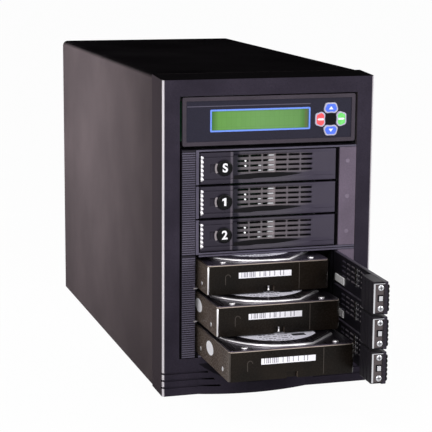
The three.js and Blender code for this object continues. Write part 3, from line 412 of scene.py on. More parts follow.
def round_corners(points, radius):
    """Rounds each corner of a polygon with a small curve."""
    steps = 4
    rounded = []
    for spot, point in enumerate(points):
        here = Vector(point)
        before = Vector(points[spot - 1])
        after = Vector(points[(spot + 1) % len(points)])
        start = here + (before - here).normalized() * radius
        end = here + (after - here).normalized() * radius
        for step in range(steps + 1):
            share = step / steps
            curve = start * (1 - share) ** 2 + here * 2 * share * (1 - share) + end * share ** 2
            rounded.append((curve.x, curve.y))
    return rounded


def key_centre(key):
    """The middle of a key, in X and Z."""
    low, high = box_of("button_" + key)
    return Vector(((low.x + high.x) / 2, (low.z + high.z) / 2))


key_turns = {"up": 0, "left": 90, "down": 180, "right": 270}
key_half = [(4.3, 4.1), (6.1, -1.8), (3.7, -4.1)]
key_root = (0, -3.4)


def key_outline(key, grow, radius):
    """A key's own outline in the panel's plane: six-sided, wide at its shoulders, with a hollow root."""
    spin = Matrix.Rotation(math.radians(key_turns[key]), 2)
    points = []
    for x, z in key_half + [key_root] + [(-x, z) for x, z in reversed(key_half)]:
        corner = Vector((x + grow * ((x > 0) - (x < 0)), z + grow * ((z > 0) - (z < 0))))
        points.append(key_centre(key) + spin @ corner)
    return round_corners(points, radius)


def printed_ink(name, colour, light, roughness):
    """Screen-printed ink: flat colour with the faint mottling of a mesh about 0.6 mm wide."""
    material, add, place = new_finish(name)
    mottle = add("TexNoise", {"Vector": place, "Scale": every(0.6), "Detail": 2.0})
    tone = add("ValToRGB", {"Fac": mottle}, stops=[(0.3, colour), (0.7, light)])
    relief = add("Bump", {"Height": mottle, "Distance": 0.01 * mm, "Strength": 0.4})
    add("BsdfPrincipled", {
        "Base Color": tone, "Roughness": roughness, "Normal": relief, "Specular IOR Level": 0.2})
    return material


rim_abs = moulded_abs("grey_panel_abs", 0x38323a, 0x443d46, 0.4, gloss=0.12)
overlay_film, add, place = new_finish("printed_polyester_overlay")
grain = add("TexNoise", {"Vector": place, "Scale": every(0.9), "Detail": 2.0})
tone = add("ValToRGB", {"Fac": grain}, stops=[(0.35, 0x1d1b28), (0.7, 0x262433)])
relief = add("Bump", {"Height": grain, "Distance": 0.012 * mm, "Strength": 0.5})
add("BsdfPrincipled", {
    "Base Color": tone, "Roughness": 0.36, "Normal": relief, "Specular IOR Level": 0.12, "IOR": 1.6})
centre_film = moulded_abs("black_centre_film", 0x08080b, 0x0e0e12, 0.35, gloss=0.1)
frame_ink = printed_ink("blue_frame_ink", 0x5f84e4, 0x7c9cf0, 0.4)
rule_ink = printed_ink("grey_rule_ink", 0x4f4b5a, 0x5d5968, 0.45)

front_plane = box_of("upper_rack_frame")[0].y
side_gap, foot_gap, shadow_gap = 1.8, 2.9, 0.9
rim_width, rim_proud, rim_sunk = 2.6, 0.6, 0.4
plate_thickness = 2.8
overlay_thickness = 0.2
overlay_place = front_plane + 0.4
print_thickness = 0.05
print_place = overlay_place - overlay_thickness - print_thickness
frame_width = 1.3
key_gap = 0.5
centre_half = 4.4
panel_low, panel_high = box_of("control_panel")
panel_sides = (panel_low.x + side_gap, panel_high.x - side_gap,
               panel_low.z + foot_gap, panel_high.z - shadow_gap)
frame_low = (panel_low.z + panel_high.z) / 2 - 7.65
frame_sides = (-49.6, 34.0, frame_low, frame_low + 17.8)
panel_edge = rounded_rectangle(panel_sides, 1.2)
rim_hole = rounded_rectangle(panel_sides, 0.8, rim_width)
overlay_edge = rounded_rectangle(panel_sides, 0.7, rim_width + 0.15)
frame_edge = rounded_rectangle(frame_sides, 0.9)
window_edge = rounded_rectangle(frame_sides, 0.4, frame_width)
key_edges = [key_outline(key, key_gap, 1.6) for key in key_turns]
middle = sum((key_centre(key) for key in key_turns), Vector((0, 0))) / 4
centre_sides = (middle.x - centre_half, middle.x + centre_half,
                middle.y - centre_half, middle.y + centre_half)
rule_left, rule_right = panel_sides[0] + rim_width + 1, frame_sides[1]
rule_low, rule_high = frame_sides[3] + 2.4, frame_sides[3] + 3.0
rule = [(rule_left, rule_low), (rule_right, rule_low), (rule_right, rule_high), (rule_left, rule_high)]
for name, outlines, y, thickness, finish, bevel, nodes in (
    ("panel_plate", [panel_edge, frame_edge] + key_edges, overlay_place, plate_thickness, rim_abs, 0.0,
     ["control_panel"]),
    ("panel_rim", [panel_edge, rim_hole], front_plane - rim_proud, rim_proud + rim_sunk, rim_abs, 0.3, ()),
    ("panel_overlay", [overlay_edge, window_edge] + key_edges, overlay_place - overlay_thickness,
     overlay_thickness, overlay_film, 0.0, ()),
    ("panel_key_centre", [rounded_rectangle(centre_sides, 1.2)], print_place, 0.06, centre_film, 0.0, ()),
    ("window_frame_print", [frame_edge, window_edge], print_place, print_thickness, frame_ink, 0.0, ()),
    ("rule_print", [rule], print_place, print_thickness, rule_ink, 0.0, ()),
):
    flat_plate(name, outlines, y, thickness, finish, "tower", bevel, nodes)

# Display
# A character module: glass over a lit yellow-green field, divided into small cells, in a dark frame.
# The cells show as a faint grid, and the field is darker at its two ends.

screen_glass, add, place = new_finish("lit_green_display")
split = add("SeparateXYZ", {"Vector": place.node.outputs["Generated"]})
ends = add("ValToRGB", {"Fac": split}, stops=[
    (0.0, 0x4d6e60), (0.055, 0x386829), (0.085, 0x507b38), (0.11, 0x5b8c40), (0.5, 0x628f4e),
    (0.86, 0x5b8748), (0.9, 0x477838), (0.935, 0x545f34), (0.95, 0x42644e)])
cells = add("TexBrick", {
    "Vector": add("Mapping", {"Vector": place, "Rotation": (math.radians(90), 0, 0)}),
    "Color1": (1, 1, 1, 1), "Color2": (0.96, 0.96, 0.96, 1), "Mortar": (0.86, 0.88, 0.86, 1),
    "Scale": 1.0, "Mortar Size": 0.12 * mm, "Brick Width": 4 * mm, "Row Height": 7.5 * mm}, offset=0.0)
tint = add("Mix", {0: 1.0, 6: ends, 7: cells}, blend_type="MULTIPLY")
add("BsdfPrincipled", {
    "Base Color": tint, "Roughness": 0.22, "Specular IOR Level": 0.3, "Emission Color": tint,
    "Emission Strength": 0.1})
finish_node("lcd_screen", screen_glass)

# Keys
# Four clear caps, each moulded in a tint over a printed face with a pale border and a plain white sign.
# They are glossy, with softly rounded edges, and stand on the switches behind the panel.


def clear_cap(name, colour, light):
    """Tinted acrylic cap: glossy, a little lighter towards the top of each key, with a faint painted glow.
    """
    material, add, place = new_finish(name)
    split = add("SeparateXYZ", {"Vector": place.node.outputs["Generated"]})
    speckle = add("TexNoise", {"Vector": place, "Scale": every(1.5)})
    mixed = add("MULTIPLY", {0: split.outputs["Y"], 1: speckle})
    tone = add("ValToRGB", {"Fac": mixed}, stops=[(0.1, colour), (0.6, light)])
    # The faint emission is a painted glow.
    add("BsdfPrincipled", {
        "Base Color": tone, "Roughness": 0.3, "Specular IOR Level": 0.3, "Emission Color": tone,
        "Emission Strength": 0.05})
    return material


cap_thickness = 3.0
face_thickness = 0.1
key_front = box_of("button_up")[0].y
triangle = ((-1.9, -1.1), (1.9, -1.1), (0, 1.4))
arrow = ((-2.6, -0.8), (1.6, -0.8), (2.8, 0), (1.6, 0.8), (-2.6, 0.8))
border_ink = printed_ink("pale_border_ink", 0xa8a5ba, 0xc0bdd0, 0.4)
sign_ink = printed_ink("white_sign_ink", 0xe6e8f6, 0xf4f5fb, 0.4)
for key, slot, finish, colour, light, sign, flip_x, flip_z in (
    ("up", "key_blue", "blue_acrylic", 0x3f62dc, 0x6f8ff8, triangle, 1, 1),
    ("left", "key_red", "red_acrylic", 0xe84048, 0xff7a7e, arrow, -1, 1),
    ("down", "key_blue", "blue_acrylic_low", 0x3f62dc, 0x6f8ff8, triangle, 1, -1),
    ("right", "key_green", "green_acrylic", 0x5cc85a, 0x92ea8c, arrow, 1, 1),
):
    body = "button_" + key
    middle = key_centre(key)
    sign_edge = [(middle.x + x * flip_x, middle.y + z * flip_z) for x, z in sign]
    flat_plate("key_cap_" + key, [key_outline(key, 0, 1.6)], key_front + 0.1, cap_thickness,
               border_ink, body, 0.25, [body])
    flat_plate("key_face_" + key, [key_outline(key, -0.8, 1.3)], key_front + 0.03, face_thickness,
               clear_cap(finish, colour, light), body)
    flat_plate("key_sign_" + key, [sign_edge], key_front, print_thickness, sign_ink, body)

# Circuit boards
# Glass-epoxy boards with green solder mask behind the panel, behind each rack and under each drive. The
# mask is glossy, and copper tracks under it show as slightly lighter lines.

solder_mask, add, place = new_finish("green_solder_mask")
tracks = add("TexBrick", {
    "Vector": place, "Color1": linear(0x1c5434), "Color2": linear(0x236440), "Mortar": linear(0x2f7a50),
    "Scale": 1.0, "Mortar Size": 0.25 * mm, "Brick Width": 6 * mm, "Row Height": 2.2 * mm})
relief = add("Bump", {"Height": tracks.outputs["Fac"], "Distance": 0.05 * mm, "Strength": 0.5})
add("BsdfPrincipled", {"Base Color": tracks, "Roughness": 0.3, "Normal": relief})
for name in ("control_board", "lower_backplane", "upper_backplane"):
    finish_node(name, solder_mask)

# Rack face frames and indicator strips
# Dark grey ABS frames. The left stile is moulded with fine flat ribs and a seam, and beside the hinges
# a separate strip of a warmer grey carries three faint round marks.

rib_pitch, rib_depth, rib_width, rib_share = 1.8, 0.7, 10.8, 0.55
seam_width, seam_depth = 0.5, 1.2
land_edge, land_sunk = -58.5, 9
frame_rail = 1.4
row_gap = 1.3
mark_radius, mark_inset = 1.6, 7
joints = {joint["name"]: joint for joint in frame["joints"]}


def shaded_grooves(add, place, tone):
    """The ground between the ribs, which lies in their shade."""
    depth = add("SeparateXYZ", {"Vector": place}).outputs["Y"]
    sunk = add("MapRange", {
        "Value": depth, "From Min": (front_plane + 0.15) * mm, "From Max": (front_plane + 0.45) * mm})
    return add("Mix", {0: sunk, 6: tone, 7: linear(0x26232b)})


def row_edge(rack, row):
    """The height between the doors of two neighbouring rows."""
    return sum(joints["%s_door_%d_hinge" % (rack, part)]["pos_m"][2] for part in (row, row + 1)) / 2 / mm


def box_mesh(name, boxes):
    """A mesh of closed boxes, each given by its two corners."""
    work = bmesh.new()
    for low, high in boxes:
        size = [high[axis] - low[axis] for axis in range(3)]
        middle = [(high[axis] + low[axis]) / 2 for axis in range(3)]
        bmesh.ops.create_cube(work, size=1, matrix=Matrix.Translation(middle) @ Matrix.Diagonal((*size, 1)))
    return as_mesh(work, name)


def fit(name, mesh, material, body, at=None, nodes=(), edge=0.0):
    """Puts a piece in place on its body. A mesh that several pieces share is given its finish once."""
    if not mesh.materials:
        mesh.materials.append(material)
    piece = add_object(name, mesh)
    if at is not None:
        piece.matrix_world = at
    settle(piece, body, nodes)
    if edge:
        soften(piece, edge)


rack_abs = moulded_abs("dark_grey_rack_abs", 0x4c4857, 0x5e5968, 0.4, gloss=0.12, shade=shaded_grooves)
strip_abs = moulded_abs("warm_grey_strip_abs", 0x5b515e, 0x6c6070, 0.44, gloss=0.12)
mark_abs = moulded_abs("pale_mark_abs", 0x6f6473, 0x7d7281, 0.44, gloss=0.12)
for rack in ("lower", "upper"):
    low, high = box_of(rack + "_rack_frame")
    strip_low, strip_high = box_of(rack + "_indicator_strip")
    left = low.x + side_gap
    rib_edge = left + rib_width
    stile_edge = rib_edge + seam_width
    rail_low, rail_high = low.z + frame_rail, high.z - frame_rail
    boxes = [((left, low.y + rib_depth, low.z), (rib_edge, high.y, high.z))]
    for rib in range(int((high.z - low.z) / rib_pitch)):
        foot = low.z + rib * rib_pitch + 0.3
        top = foot + rib_pitch * rib_share
        boxes.append(((left, low.y, foot), (rib_edge, low.y + rib_depth - 0.1, top)))
    boxes.append(((rib_edge, low.y + seam_depth, low.z), (stile_edge, high.y, high.z)))
    if rack == "upper":
        gaps = [row_edge(rack, row) + side * row_gap / 2 for row in (1, 2) for side in (-1, 1)]
        heights = [low.z] + gaps + [high.z]
        for foot, top in zip(heights[::2], heights[1::2]):
            boxes.append(((stile_edge, low.y, foot), (land_edge, high.y, top)))
    else:
        boxes.append(((stile_edge, low.y + land_sunk, low.z), (land_edge, high.y, high.z)))
    boxes += [
        ((land_edge, low.y, low.z), (strip_low.x, high.y, rail_low)),
        ((land_edge, low.y, rail_high), (strip_low.x, high.y, high.z)),
        ((strip_low.x, strip_high.y + 0.2, low.z), (high.x, high.y, high.z)),
        ((strip_low.x, low.y, low.z), (high.x, strip_high.y + 0.3, rail_low)),
        ((strip_low.x, low.y, rail_high), (high.x, strip_high.y + 0.3, high.z)),
    ]
    fit(rack + "_face_frame", box_mesh(rack + "_face_frame", boxes), rack_abs, "tower",
        nodes=[rack + "_rack_frame"], edge=0.12)
    finish_node(rack + "_indicator_strip", strip_abs, 0.3)
    for row in range(3):
        z = strip_low.z + (strip_high.z - strip_low.z) * (0.14 + 0.36 * row)
        mark = [(strip_low.x + mark_inset + mark_radius * math.cos(a), z + mark_radius * math.sin(a))
                for a in [math.radians(15 * step) for step in range(24)]]
        flat_plate(rack + "_strip_mark_%d" % (row + 1), [mark], low.y - 0.15, 0.25, mark_abs, "tower",
                   0.08)

# Doors
# Each door is one ABS moulding on a steel pin at its right end. Its face dips in a long scoop behind four
# rows of louvre slots, whose bars are painted pale with a painted highlight stripe. A painted shade lies
# in the band beside the latch cover and on the door's back. The free end carries the darker latch cover,
# with two grooves, a keyhole pocket and a thumb dish.

door_face, door_back = -2.4, 1.6
door_reach, door_end = 115.6, -1.75
door_half = 12.6
latch_end = -88.5
latch_box_back = 9.6
louvre_end = -18
louvre_rows = (-3.25, 0.75, 4.75, 8.75)
slot_tall = 1.7
slot_columns = [(latch_end + 4.2 + 10.6 * column, latch_end + 13.5 + 10.6 * column) for column in range(6)]
scoop_depth = 2.4
edge_round = 0.7
disc_x = -95.7
thumb_x, thumb_radius, thumb_depth = -96.9, 7.4, 1.3
keyhole_x, keyhole_half, keyhole_tall, keyhole_depth = latch_end - 17.0, 2.2, 3.2, 1.6
groove_height, groove_depth = 8.9, 0.5

door_abs, add, place = new_finish("dark_grey_door_abs")
skin = add("TexNoise", {"Vector": place, "Scale": every(1.1), "Detail": 3.0, "Roughness": 0.65})
split = add("SeparateXYZ", {"Vector": place})
along = add("MapRange", {"Value": split, "From Min": -door_reach * mm, "From Max": 0.0})
# The dark band just past the latch cover is painted shade.
tone = add("ValToRGB", {"Fac": along}, stops=[
    (0.0, 0x302c36), (0.212, 0x302c36), (0.217, 0x5a545d), (0.226, 0x5a545d), (0.235, 0x1d1b25),
    (0.268, 0x201e28), (0.285, 0x47434b), (0.6, 0x4a464e), (0.8, 0x3e3946), (1.0, 0x443f4c)])
# The pale bars and the lighter stripe across the louvre are painted highlight.
bar_tone = add("ValToRGB", {"Fac": along}, stops=[
    (0.27, 0x25232c), (0.30, 0x5e595d), (0.485, 0x6a6467), (0.505, 0x837a7d), (0.535, 0x8a8184),
    (0.545, 0x665f63), (0.74, 0x5a545b), (0.8, 0x443f4b)])
rows = add("COMPARE", {0: split.outputs["Z"], 1: 2.45 * mm, 2: 7.9 * mm})
past_seam = add("GREATER_THAN", {0: split, 1: (latch_end + 1) * mm})
grille = add("MULTIPLY", {0: rows, 1: past_seam})
front_tone = add("Mix", {0: grille, 6: tone, 7: bar_tone})
# The door's back is painted darker: painted shade.
inner = add("MapRange", {
    "Value": split.outputs["Y"], "From Min": (door_back - 1.0) * mm, "From Max": (door_back - 0.6) * mm})
shown = add("Mix", {0: inner, 6: front_tone, 7: linear(0x17151a)})
shade = add("MapRange", {"Value": skin, "To Min": 0.86, "To Max": 1.1})
both = add("Mix", {0: 1.0, 6: shown, 7: shade}, blend_type="MULTIPLY")
satin = add("MapRange", {"Value": skin, "To Min": 0.3, "To Max": 0.44})
relief = add("Bump", {"Height": skin, "Distance": 0.03 * mm, "Strength": 0.7})
add("BsdfPrincipled", {
    "Base Color": both, "Roughness": satin, "Normal": relief, "Specular IOR Level": 0.1, "IOR": 1.53})
# A near-black sheet for painted shadow: the lens under the slots and the grip's end faces.
lip_abs = moulded_abs("polished_lip_abs", 0x0a090c, 0x121014, 0.3, gloss=0.1)
box_abs = moulded_abs("black_latch_box_abs", 0x1b191d, 0x262328, 0.4, gloss=0.08)
pivot_abs = moulded_abs("shaded_knuckle_abs", 0x070708, 0x0c0b0d, 0.6, gloss=0.0)
# A pale finish for the painted highlight on the thumb dish's wall.
rubbed_abs = moulded_abs("rubbed_rim_abs", 0x857d80, 0x9b9396, 0.4)
# The grip's bright metal front is a painted highlight on its bumps.
grip_foil = rolled_metal("bright_grip_foil", 0xe9e6ea, 0xcfccd2, 0.3, 0.5)


def grid_lines(start, end, pitch, extra):
    """Evenly spaced places between two ends, with the given places among them."""
    count = max(1, round((end - start) / pitch))
    even = [start + (end - start) * step / count for step in range(count + 1)]
    kept = [place for place in even if all(abs(place - other) > pitch * 0.35 for other in extra)]
    return sorted(set(kept) | set(extra) | {start, end})


def smooth(value):
    """A soft step from 0 to 1."""
    value = min(1, max(0, value))
    return value * value * (3 - 2 * value)


def face_depth(x, z):
    """How far the door's face lies behind its front plane at a place on the door."""
    depth = 0.0
    if x <= latch_end:
        away = math.hypot(x - thumb_x, z) / thumb_radius
        depth = thumb_depth * (1 - smooth((away - 0.55) / 0.45)) if away < 1 else 0.0
        if abs(abs(z) - groove_height) < 0.3:
            depth = max(depth, groove_depth)
        if abs(x - keyhole_x) < keyhole_half and abs(z) < keyhole_tall:
            depth = max(depth, keyhole_depth)
    else:
        along = (x - latch_end) / (louvre_end - latch_end)
        if along < 1:
            dip = scoop_depth * math.sin(math.pi * min(1, 0.3 + 0.7 * along)) ** 1.3
            low_edge, high_edge = -11.6 + 2.6 * along, 11.2
            depth = dip * min(smooth((z - low_edge) / 0.9), smooth((high_edge - z) / 1.6))
        for line in (-11.5, -8.8, 8.9, 11.4):
            if along > 0.55 and abs(z - line) < 0.2:
                depth = max(depth, 0.18 * smooth((along - 0.55) / 0.2))
    edge = min(x + door_reach, door_end - x, z + door_half, door_half - z)
    if edge < edge_round:
        depth += edge_round * (1 - edge / edge_round) ** 2 * 0.8
    return depth


def bridge(work, lower, upper, smooth):
    """Joins two closed loops of points with a band of faces."""
    for spot in range(len(lower)):
        after = (spot + 1) % len(lower)
        work.faces.new([lower[spot], lower[after], upper[after], upper[spot]]).smooth = smooth


def stack_mesh(name, loops, smooth):
    """A closed solid through a stack of loops of points, with flat ends."""
    work = bmesh.new()
    rings = [[work.verts.new(point) for point in loop] for loop in loops]
    for lower, upper in zip(rings, rings[1:]):
        bridge(work, lower, upper, smooth)
    work.faces.new(list(reversed(rings[0])))
    work.faces.new(rings[-1])
    return as_mesh(work, name)


def turned_mesh(name, profile, facets):
    """A turned piece: a profile of radius and height about Z."""
    circle = [(math.cos(angle), math.sin(angle))
              for angle in [2 * math.pi * step / facets for step in range(facets)]]
    return stack_mesh(name, [[(x * radius, y * radius, height) for x, y in circle]
                             for radius, height in profile], True)


def prism_mesh(name, outline, low, high):
    """A plate cut from an outline in X and Y, between two heights."""
    return stack_mesh(name, [[(x, y, height) for x, y in outline] for height in (low, high)], False)


def arc(middle_x, middle_y, radius, start, end, steps):
    """Points along an arc, angles in degrees."""
    angles = [math.radians(start + (end - start) * step / steps) for step in range(steps + 1)]
    return [(middle_x + radius * math.cos(angle), middle_y + radius * math.sin(angle)) for angle in angles]


def door_mesh():
    """The door's moulding: a grid over its face with the slots left open, and flat behind."""
    slot_edges = [edge for column in slot_columns for edge in column]
    keyhole_edges = [keyhole_x + side * keyhole_half + nudge for side in (-1, 1) for nudge in (-0.05, 0.05)]
    x_lines = grid_lines(-door_reach, latch_end, 0.75,
                         [-door_reach + 0.35, -door_reach + 0.7, latch_end] + keyhole_edges)
    x_lines += grid_lines(latch_end + 0.05, door_end, 1.6, slot_edges + [door_end - 0.35, door_end - 0.7])
    row_edges = [middle + side * slot_tall / 2 for middle in louvre_rows for side in (-1, 1)]
    rims = [side * (door_half - inward) for side in (-1, 1) for inward in (0.35, 0.7)]
    grooves = [side * groove_height + nudge for side in (-1, 1) for nudge in (-0.35, -0.28, 0.28, 0.35)]
    grooves += [side * keyhole_tall + nudge for side in (-1, 1) for nudge in (-0.05, 0.05)]
    z_lines = grid_lines(-door_half, door_half, 0.79, row_edges + rims + grooves)
    work = bmesh.new()
    front = [[work.verts.new((x, door_face + face_depth(x, z), z)) for z in z_lines] for x in x_lines]
    back = [[work.verts.new((x, door_back, z)) for z in z_lines] for x in x_lines]
    columns, rows = len(x_lines) - 1, len(z_lines) - 1

    def is_solid(c, r):
        if not (0 <= c < columns and 0 <= r < rows):
            return False
        x, z = (x_lines[c] + x_lines[c + 1]) / 2, (z_lines[r] + z_lines[r + 1]) / 2
        in_column = any(left < x < right for left, right in slot_columns)
        return not (in_column and any(abs(z - middle) < slot_tall / 2 for middle in louvre_rows))

    for c in range(columns):
        for r in range(rows):
            if not is_solid(c, r):
                continue
            corners = [(c, r), (c + 1, r), (c + 1, r + 1), (c, r + 1)]
            work.faces.new([front[a][b] for a, b in corners]).smooth = True
            work.faces.new([back[a][b] for a, b in reversed(corners)])
            for side, (dc, dr) in enumerate(((0, -1), (1, 0), (0, 1), (-1, 0))):
                if not is_solid(c + dc, r + dr):
                    (c1, r1), (c2, r2) = corners[side], corners[(side + 1) % 4]
                    work.faces.new([front[c2][r2], front[c1][r1], back[c1][r1], back[c2][r2]])
    unused = [vert for vert in work.verts if not vert.link_faces]
    bmesh.ops.delete(work, geom=unused, context="VERTS")
    return as_mesh(work, "door_moulding")


def knuckle_mesh():
    """The barrel round the pin at the door's hinge end, and the web that joins it to the door."""
    work = bmesh.new()
    bmesh.ops.create_cone(work, cap_ends=True, segments=24, radius1=1.3, radius2=1.3, depth=2 * door_half)
    web = Matrix.Translation((-0.9, 0.9, 0)) @ Matrix.Diagonal((1.8, 1.4, 2 * door_half, 1))
    bmesh.ops.create_cube(work, size=1, matrix=web)
    return as_mesh(work, "door_knuckle")


grip_bumps, grip_tall, grip_rise = 6, 20.6, 1.1
bump_steps = 8
grip_places = (0, 0.35, 1.3, 2.3, 2.6)
grip_swells = (0.8, 1.0, 1.0, 0.9, 0.1)


def grip_mesh():
    """The row of round bumps along the free edge, which the fingers pull."""
    work = bmesh.new()
    rows = []
    for bump in range(grip_bumps):
        for step in range(bump_steps + (bump == grip_bumps - 1)):
            share = step / bump_steps
            swell = math.sin(math.pi * share) ** 0.7
            height = -grip_tall / 2 + (bump + share) * grip_tall / grip_bumps
            rows.append((height, grip_rise * (0.3 + 0.7 * swell), 0.68 + 0.32 * swell))
    grid = [[work.verts.new((-door_reach + x * width, door_face + 0.05 - rise * share, z))
             for x, share in zip(grip_places, grip_swells)] for z, rise, width in rows]
    root = [[work.verts.new((-door_reach + x * width, door_face + 1.0, z)) for x in grip_places[::4]]
            for z, rise, width in rows]
    for spot in range(len(rows) - 1):
        here, after = grid[spot], grid[spot + 1]
        for step in range(len(grip_places) - 1):
            work.faces.new([here[step], here[step + 1], after[step + 1], after[step]]).smooth = True
        # The end faces take the second finish, a near-black painted shadow.
        work.faces.new([root[spot][0], here[0], after[0], root[spot + 1][0]]).material_index = 1
        work.faces.new([here[-1], root[spot][1], root[spot + 1][1], after[-1]])
        work.faces.new([root[spot][1], root[spot][0], root[spot + 1][0], root[spot + 1][1]])
    for end in (0, -1):
        loop = [root[end][0]] + grid[end] + [root[end][1]]
        work.faces.new(loop if end == -1 else list(reversed(loop)))
    bmesh.ops.recalc_face_normals(work, faces=work.faces)
    return as_mesh(work, "door_grip")


lip_ends = (latch_end + 1.2, latch_end + 58)
lip_steps = 24


def lip_mesh():
    """A lens-shaped painted shadow under the slots, a thin shell that follows the scoop."""
    work = bmesh.new()
    layers = []
    for lift in (-0.07, 0.15):
        rows = []
        for step in range(lip_steps + 1):
            share = step / lip_steps
            x = lip_ends[0] + (lip_ends[1] - lip_ends[0]) * share
            half = 2.3 * math.sin(math.pi * min(1, 0.18 + share * 0.82)) ** 0.8 + 0.02
            heights = [-8.1 + 1.6 * share + side * half for side in (-1, -0.4, 0.3, 1)]
            rows.append([work.verts.new((x, door_face + face_depth(x, z) + lift, z)) for z in heights])
        layers.append(rows)
    front, back = layers
    for step in range(lip_steps):
        for side in range(3):
            spots = ((step, side), (step + 1, side), (step + 1, side + 1), (step, side + 1))
            work.faces.new([front[a][b] for a, b in spots]).smooth = True
            work.faces.new([back[a][b] for a, b in reversed(spots)])
    bmesh.ops.recalc_face_normals(work, faces=work.faces)
    return as_mesh(work, "scoop_lip")


def door_place(rack, row):
    """Where a door's hinge axis stands, turned as far as the door stands open."""
    hinge = joints["%s_door_%d_hinge" % (rack, row)]
    along = joints["%s_door_%d_latch_slide" % (rack, row)]["axis"]
    return Matrix.Translation(hinge["pos_m"]) @ Matrix.Rotation(math.atan2(along[1], along[0]), 4, "Z")


box_half = 12.5
box_left, box_front = -door_reach + 1.1, door_back - 0.2
box_chamfer = 2.2
cover_rib_pitch = 7.2
door_shape = door_mesh()
knuckle_shape = knuckle_mesh()
grip_shape = grip_mesh()
for finish in (grip_foil, lip_abs):
    grip_shape.materials.append(finish)
latch_box = prism_mesh("latch_box", [
    (box_left, box_front), (latch_end, box_front), (latch_end, latch_box_back - box_chamfer),
    (latch_end - box_chamfer, latch_box_back), (box_left, latch_box_back)], -box_half, box_half)
cover_ribs = box_mesh("latch_cover_ribs", [
    ((-door_reach + 2.6 + cover_rib_pitch * rib, latch_box_back - 0.05, -12.3),
     (-door_reach + 3.2 + cover_rib_pitch * rib, latch_box_back + 0.3, 12.3)) for rib in range(4)])
lip_shape = lip_mesh()
# A pale crescent on the thumb dish's wall: a painted highlight.
thumb_rim = prism_mesh("thumb_rim", arc(0, 0, 6.6, 147, 213, 12) + arc(0.9, 0, 9.0, 206, 154, 12), 0.0, 0.35)
rim_place = shift(disc_x, door_face + 0.25, 0) @ to_front
doors = [("%s_%d" % (rack, row), "%s_door_%d" % (rack, row), door_place(rack, row))
         for rack in ("lower", "upper") for row in (1, 2, 3)]
for tag, body, at in doors:
    fit("door_moulding_" + tag, door_shape, door_abs, body, at, nodes=[body])
    for kind, mesh, finish, edge in (
        ("door_knuckle_", knuckle_shape, pivot_abs, 0.0), ("door_grip_", grip_shape, grip_foil, 0.0),
        ("latch_box_", latch_box, box_abs, 0.35), ("latch_box_ribs_", cover_ribs, box_abs, 0.0),
        ("scoop_lip_", lip_shape, lip_abs, 0.0),
    ):
        fit(kind + tag, mesh, finish, body, at, edge=edge)
    fit("thumb_rim_" + tag, thumb_rim, rubbed_abs, body, at @ rim_place)

# Door springs
# A bent strip of spring steel on the inside of each door pushes the drive home, and its slotted leaf is
# screwed down beside the hinge. The short bright dashes set in the slots are painted glints, drawn in one
# piece with the strip.

dash_half = 0.5
dash_depth = (door_face + 2.4, door_face + 2.7)
strip_front = door_back + 0.05
leaf_left, leaf_pitch, leaf_width = -29, 5.4, 4.6
bright_steel = rolled_metal("bright_plated_steel", 0xd8d8dc, 0xbdbec4, 0.2, 0.5)
leaf_steel = rolled_metal("satin_leaf_steel", 0xfbfafa, 0xeceaeb, 0.66, 0.6)
# Bright steel bars set in the slots: painted glints.
dashes = [(30.2, 34.6, row) for row in louvre_rows] + [(21.6, 23.9, row) for row in louvre_rows[:2]]
spring_boxes = [((latch_end + start, dash_depth[0], row - dash_half),
                 (latch_end + end, dash_depth[1], row + dash_half)) for start, end, row in dashes]
spring_boxes.append(((latch_end + 30.0, strip_front, -5), (latch_end + 34.4, door_back + 0.45, 10.5)))
spring_shape = box_mesh("door_spring", spring_boxes)
leaf_boxes = [((leaf_left + leaf * leaf_pitch, strip_front, -10),
               (leaf_left + leaf_width + leaf * leaf_pitch, door_back + 0.8, -4.6)) for leaf in range(4)]
leaf_boxes += [((leaf_left, strip_front, end), (-8.2, door_back + 0.7, end + 0.9)) for end in (-10.3, -5.3)]
leaf_shape = box_mesh("hinge_leaf", leaf_boxes)
for tag, body, at in doors:
    fit("door_spring_" + tag, spring_shape, bright_steel, body, at)
    fit("hinge_leaf_" + tag, leaf_shape, leaf_steel, body, at)

# Door lamps
# Two light pipes of clear polycarbonate stand behind the first column of slots of each door, in the two
# middle rows, pressed into the back of its face. Lit from the rack's lamps, their tips glow white.

pipe_profile = [(0.65, 0), (0.65, 1.2), (0.5, 1.6), (0.25, 1.8)]
pipe_x, pipe_back = slot_columns[0][0] + 6.6, door_face + 3.4
lamp_lens, add, _ = new_finish("clear_light_pipe")
facing = add("LayerWeight", {"Blend": 0.4})
tone = add("ValToRGB", {"Fac": facing.outputs["Facing"]}, stops=[(0.0, 0xffffff), (1.0, 0xb8bccc)])
add("BsdfPrincipled", {
    "Base Color": tone, "Roughness": 0.15, "Emission Color": (1, 1, 1, 1), "Emission Strength": 0.8})
pipe_shape = turned_mesh("light_pipe", pipe_profile, 14)
for tag, body, at in doors:
    for spot, height in enumerate(louvre_rows[1:3]):
        fit("door_lamp_%s_%d" % (tag, spot + 1), pipe_shape, lamp_lens, body,
            at @ shift(pipe_x, pipe_back, height) @ to_front)

# Latches
# A polished black thumb disc printed with its bay's mark, on a stem that pulls a bright steel catch
# through the end of the door. The end plate is plated sheet, held by two pan-head screws.

